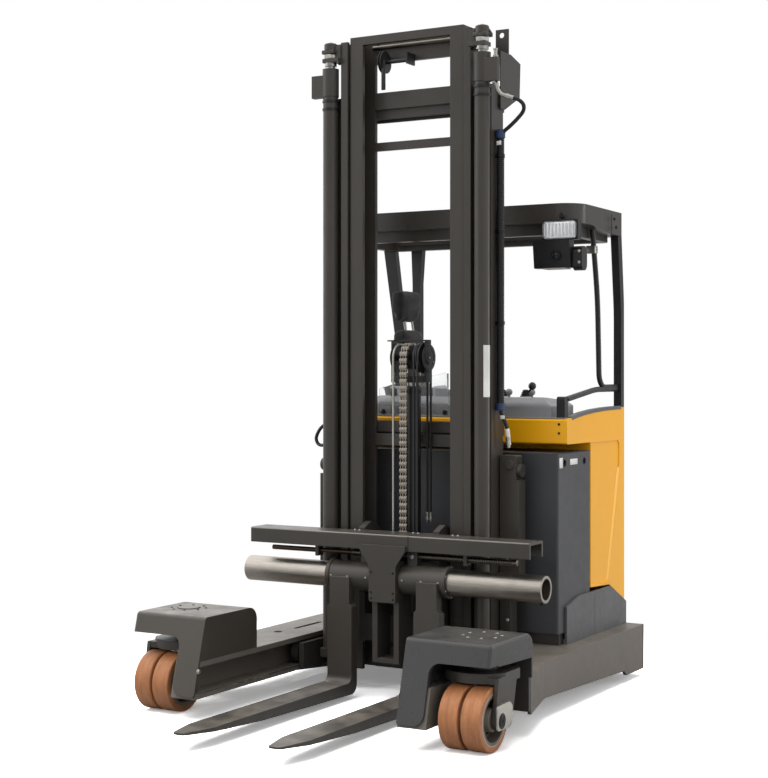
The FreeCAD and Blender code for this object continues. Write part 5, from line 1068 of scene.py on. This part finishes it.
def seat_pad(node):
    """A seat pad swollen from its CAD body, drawn in first to end near that body's size."""
    room = 0.012
    low, high = span(node)
    centre = (low + high) / 2 * MM
    size = (high - low) * MM
    shrink = Vector(1 - 2 * room / length for length in size)
    data = nodes[node].data.copy()
    for vert in data.vertices:
        vert.co = centre + (vert.co - centre) * shrink
    pad = put_in_scene(f"{node}_pad", data)
    bpy.context.view_layer.objects.active = pad
    remesh = pad.modifiers.new("even", "REMESH")
    remesh.mode = "VOXEL"
    remesh.voxel_size = 0.012
    bpy.ops.object.modifier_apply(modifier="even")
    swell(pad)
    finer = pad.modifiers.new("finer", "SUBSURF")
    finer.levels = 1
    bpy.ops.object.modifier_apply(modifier="finer")
    for polygon in pad.data.polygons:
        polygon.use_smooth = True
    pad.data.materials.clear()
    pad.data.materials.append(MATERIALS["seat_fabric"])
    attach(pad, "chassis")
    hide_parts(node)


def seat_trim():
    """The headrest's two posts, and the piping round the seat cushion."""
    foot = span("seat_headrest")[0].z + 60
    back_low, back_high = span("seat_backrest")
    posts = Piece("headrest_posts", "chrome_rod")
    for y in (905, 981):
        posts.tube([(back_low.x + 59, y, back_high.z - 60), (back_low.x + 37, y, foot)], 6.5, 12, smooth=0)
    low, high = span("seat_cushion")
    edge = rounded_rectangle(low.xy, high.xy, 9, 38, 6)
    piping = Piece("seat_piping", RUBBER, slot="seat_fabric")
    piping.tube([(x, y, (low.z + high.z) / 2 + 6) for x, y in edge + edge[:1]], 4.5, 8, smooth=0)


def floor_details():
    """The ribbed mat and the pedals on the cab floor."""
    top = span("cab_floor")[1].z
    mat = Piece("floor_mat", RUBBER)
    mat.box((60, 800, top), (520, 1090, top + 5), 1.5)
    for x in range(80, 510, 22):
        mat.box((x, 812, top + 4), (x + 9, 1078, top + 7), 0.8)
    lean = Matrix.Rotation(radians(-30), 4, "X")
    pedals = Piece("pedals", BLACK_BOLT)
    for x in (180, 330):
        pedals.box((x, 800, top + 40), (x + 80, 812, top + 120), 3, lean)
        pedals.box((x + 34, 796, top + 2), (x + 46, 820, top + 60), 2)


def drive_details():
    """Hub bolts of the drive wheel."""
    centre = joint_place("drive_wheel_spin")
    centre.y = span("drive_hub")[0].y + 1
    bolts = Piece("drive_hub_bolts", BLACK_BOLT, "drive_wheel", slot="cast_grey")
    for place in on_circle(centre, 1, 60, 7):
        bolts.bolt(place, -Y, 8)


# ---- light and camera
def studio_world():
    """White to the camera, dim to lit surfaces, and a soft gradient in reflections."""
    world = bpy.data.worlds.new("studio")
    scene.world = world
    s = Tree(world)
    parts = s.add("SeparateXYZ", {0: s.add("TexCoord")["Generated"]})
    overhead = s.ramp(parts["Z"], 0, 0.6, 0.22, 1.1)
    to_right = s.ramp(parts["X"], 0.6, 1, 0, 0.5)
    to_left = s.ramp(parts["X"], -0.44, -0.66, 0, 1.1)
    reflected = s.math("ADD", overhead, s.math("ADD", to_left, to_right))
    unseen = s.add("Mix", {0: s.add("LightPath")["Is Glossy Ray"], 2: 0.42, 3: reflected})[0]
    strength = s.add("Mix", {0: s.seen_straight(), 2: unseen, 3: 1.0})[0]
    background = s.add("Background", {"Color": (1, 1, 1, 1), "Strength": strength})[0]
    s.add("OutputWorld", {0: background})


def studio_floor():
    """A floor that is white to the camera beyond the truck's shadow, and grey to all other rays."""
    bpy.ops.mesh.primitive_plane_add(size=120, location=(0, 0, -0.0005))
    floor = bpy.context.object
    floor.name = "floor"
    s = Shader("floor white")
    away = s.add("VectorMath", {0: s.coords}, operation="LENGTH")["Value"]
    fade = s.ramp(away, 1.2, 2.4, 0.22, 1)
    bright = s.mix(s.noise(0.8), (2.6, 2.6, 2.6, 1), (2.65, 2.65, 2.65, 1))
    shaded = s.add("BsdfDiffuse", {"Color": bright})[0]
    white = s.add("Emission", {"Color": (1, 1, 1, 1), "Strength": 1.0})[0]
    to_camera = s.add("MixShader", {0: fade, 1: shaded, 2: white})[0]
    grey = s.add("BsdfDiffuse", {"Color": (0.42, 0.42, 0.42, 1)})[0]
    blend = s.add("MixShader", {0: s.seen_straight(), 1: grey, 2: to_camera})[0]
    s.add("OutputMaterial", {0: blend})
    floor.data.materials.append(s.material)
    return floor


def sun(name, direction, strength, width):
    """A distant lamp that shines from a direction, softened over a width in degrees."""
    data = bpy.data.lights.new(name, "SUN")
    data.energy = strength
    data.angle = radians(width)
    lamp = put_in_scene(name, data)
    lamp.rotation_euler = Vector(direction).to_track_quat("Z", "Y").to_euler()
    lamp.visible_glossy = False
    return lamp


def studio_lamps(floor):
    """Soft light from above, from the right but not on the floor, from the front and behind."""
    sun("overhead", (-0.2, -0.2, 1), 2.9, 60)
    side = sun("side", (1, -0.10, 0.65), 1.15, 100)
    unlit = bpy.data.collections.new("left dark by the side lamp")
    unlit.objects.link(floor)
    unlit.collection_objects[0].light_linking.link_state = "EXCLUDE"
    side.light_linking.receiver_collection = unlit
    sun("front", (-0.3, -1, 0.7), 0.35, 50)
    data = bpy.data.lights.new("strip", "AREA")
    data.shape = "RECTANGLE"
    data.size = 0.7
    data.size_y = 3
    data.energy = 45
    strip = put_in_scene("strip", data)
    strip.location = (4.6, 4.1, 1.3)
    aim = Vector((0.3, 0.6, 0.8)) - strip.location
    strip.rotation_euler = aim.to_track_quat("-Z", "Y").to_euler()


def camera():
    """A level long-lens view of the fork end, from the right."""
    data = bpy.data.cameras.new("camera")
    data.lens = 73.46
    data.sensor_width = 36
    data.shift_y = -0.0247
    data.clip_end = 200
    view = put_in_scene("camera", data)
    view.location = (3.4906, -5.9839, 1.4533)
    view.rotation_euler = (radians(90), 0, radians(30.246))
    scene.camera = view
    scene.view_settings.view_transform = "Standard"


dress_frame()
for side_name in SIDES:
    cover_bolts(side_name)
    if side_name == "left":
        cover_plug()
    leg_details(side_name)
    load_wheel_details(side_name)
    axle_cap(side_name)
    sleeve_bolts(side_name)
    mast_head(side_name)
beam_bolts()
hub_plate_bolts()
beam_edge_highlight()
shaft_spout()
spindle_details()
gland_rings()
cross_tubes()
mast_fittings()
crossbar_bolts()
leaf_chain()
over_wheel_lines()
crosshead_wheel()
cylinder_hose()
hose_guard()
tilt_hose()
blank_cylinder_plate()
tower_details()
crease_fillet()
body_details()
battery_details()
roof_details()
lamp_lens()
lamp_details()
lever_details()
dash_details()
finish_pieces()
for pad_node in ("seat_cushion", "seat_backrest", "seat_headrest"):
    seat_pad(pad_node)
seat_trim()
floor_details()
drive_details()
finish_pieces()
studio_world()
studio_lamps(studio_floor())
camera()
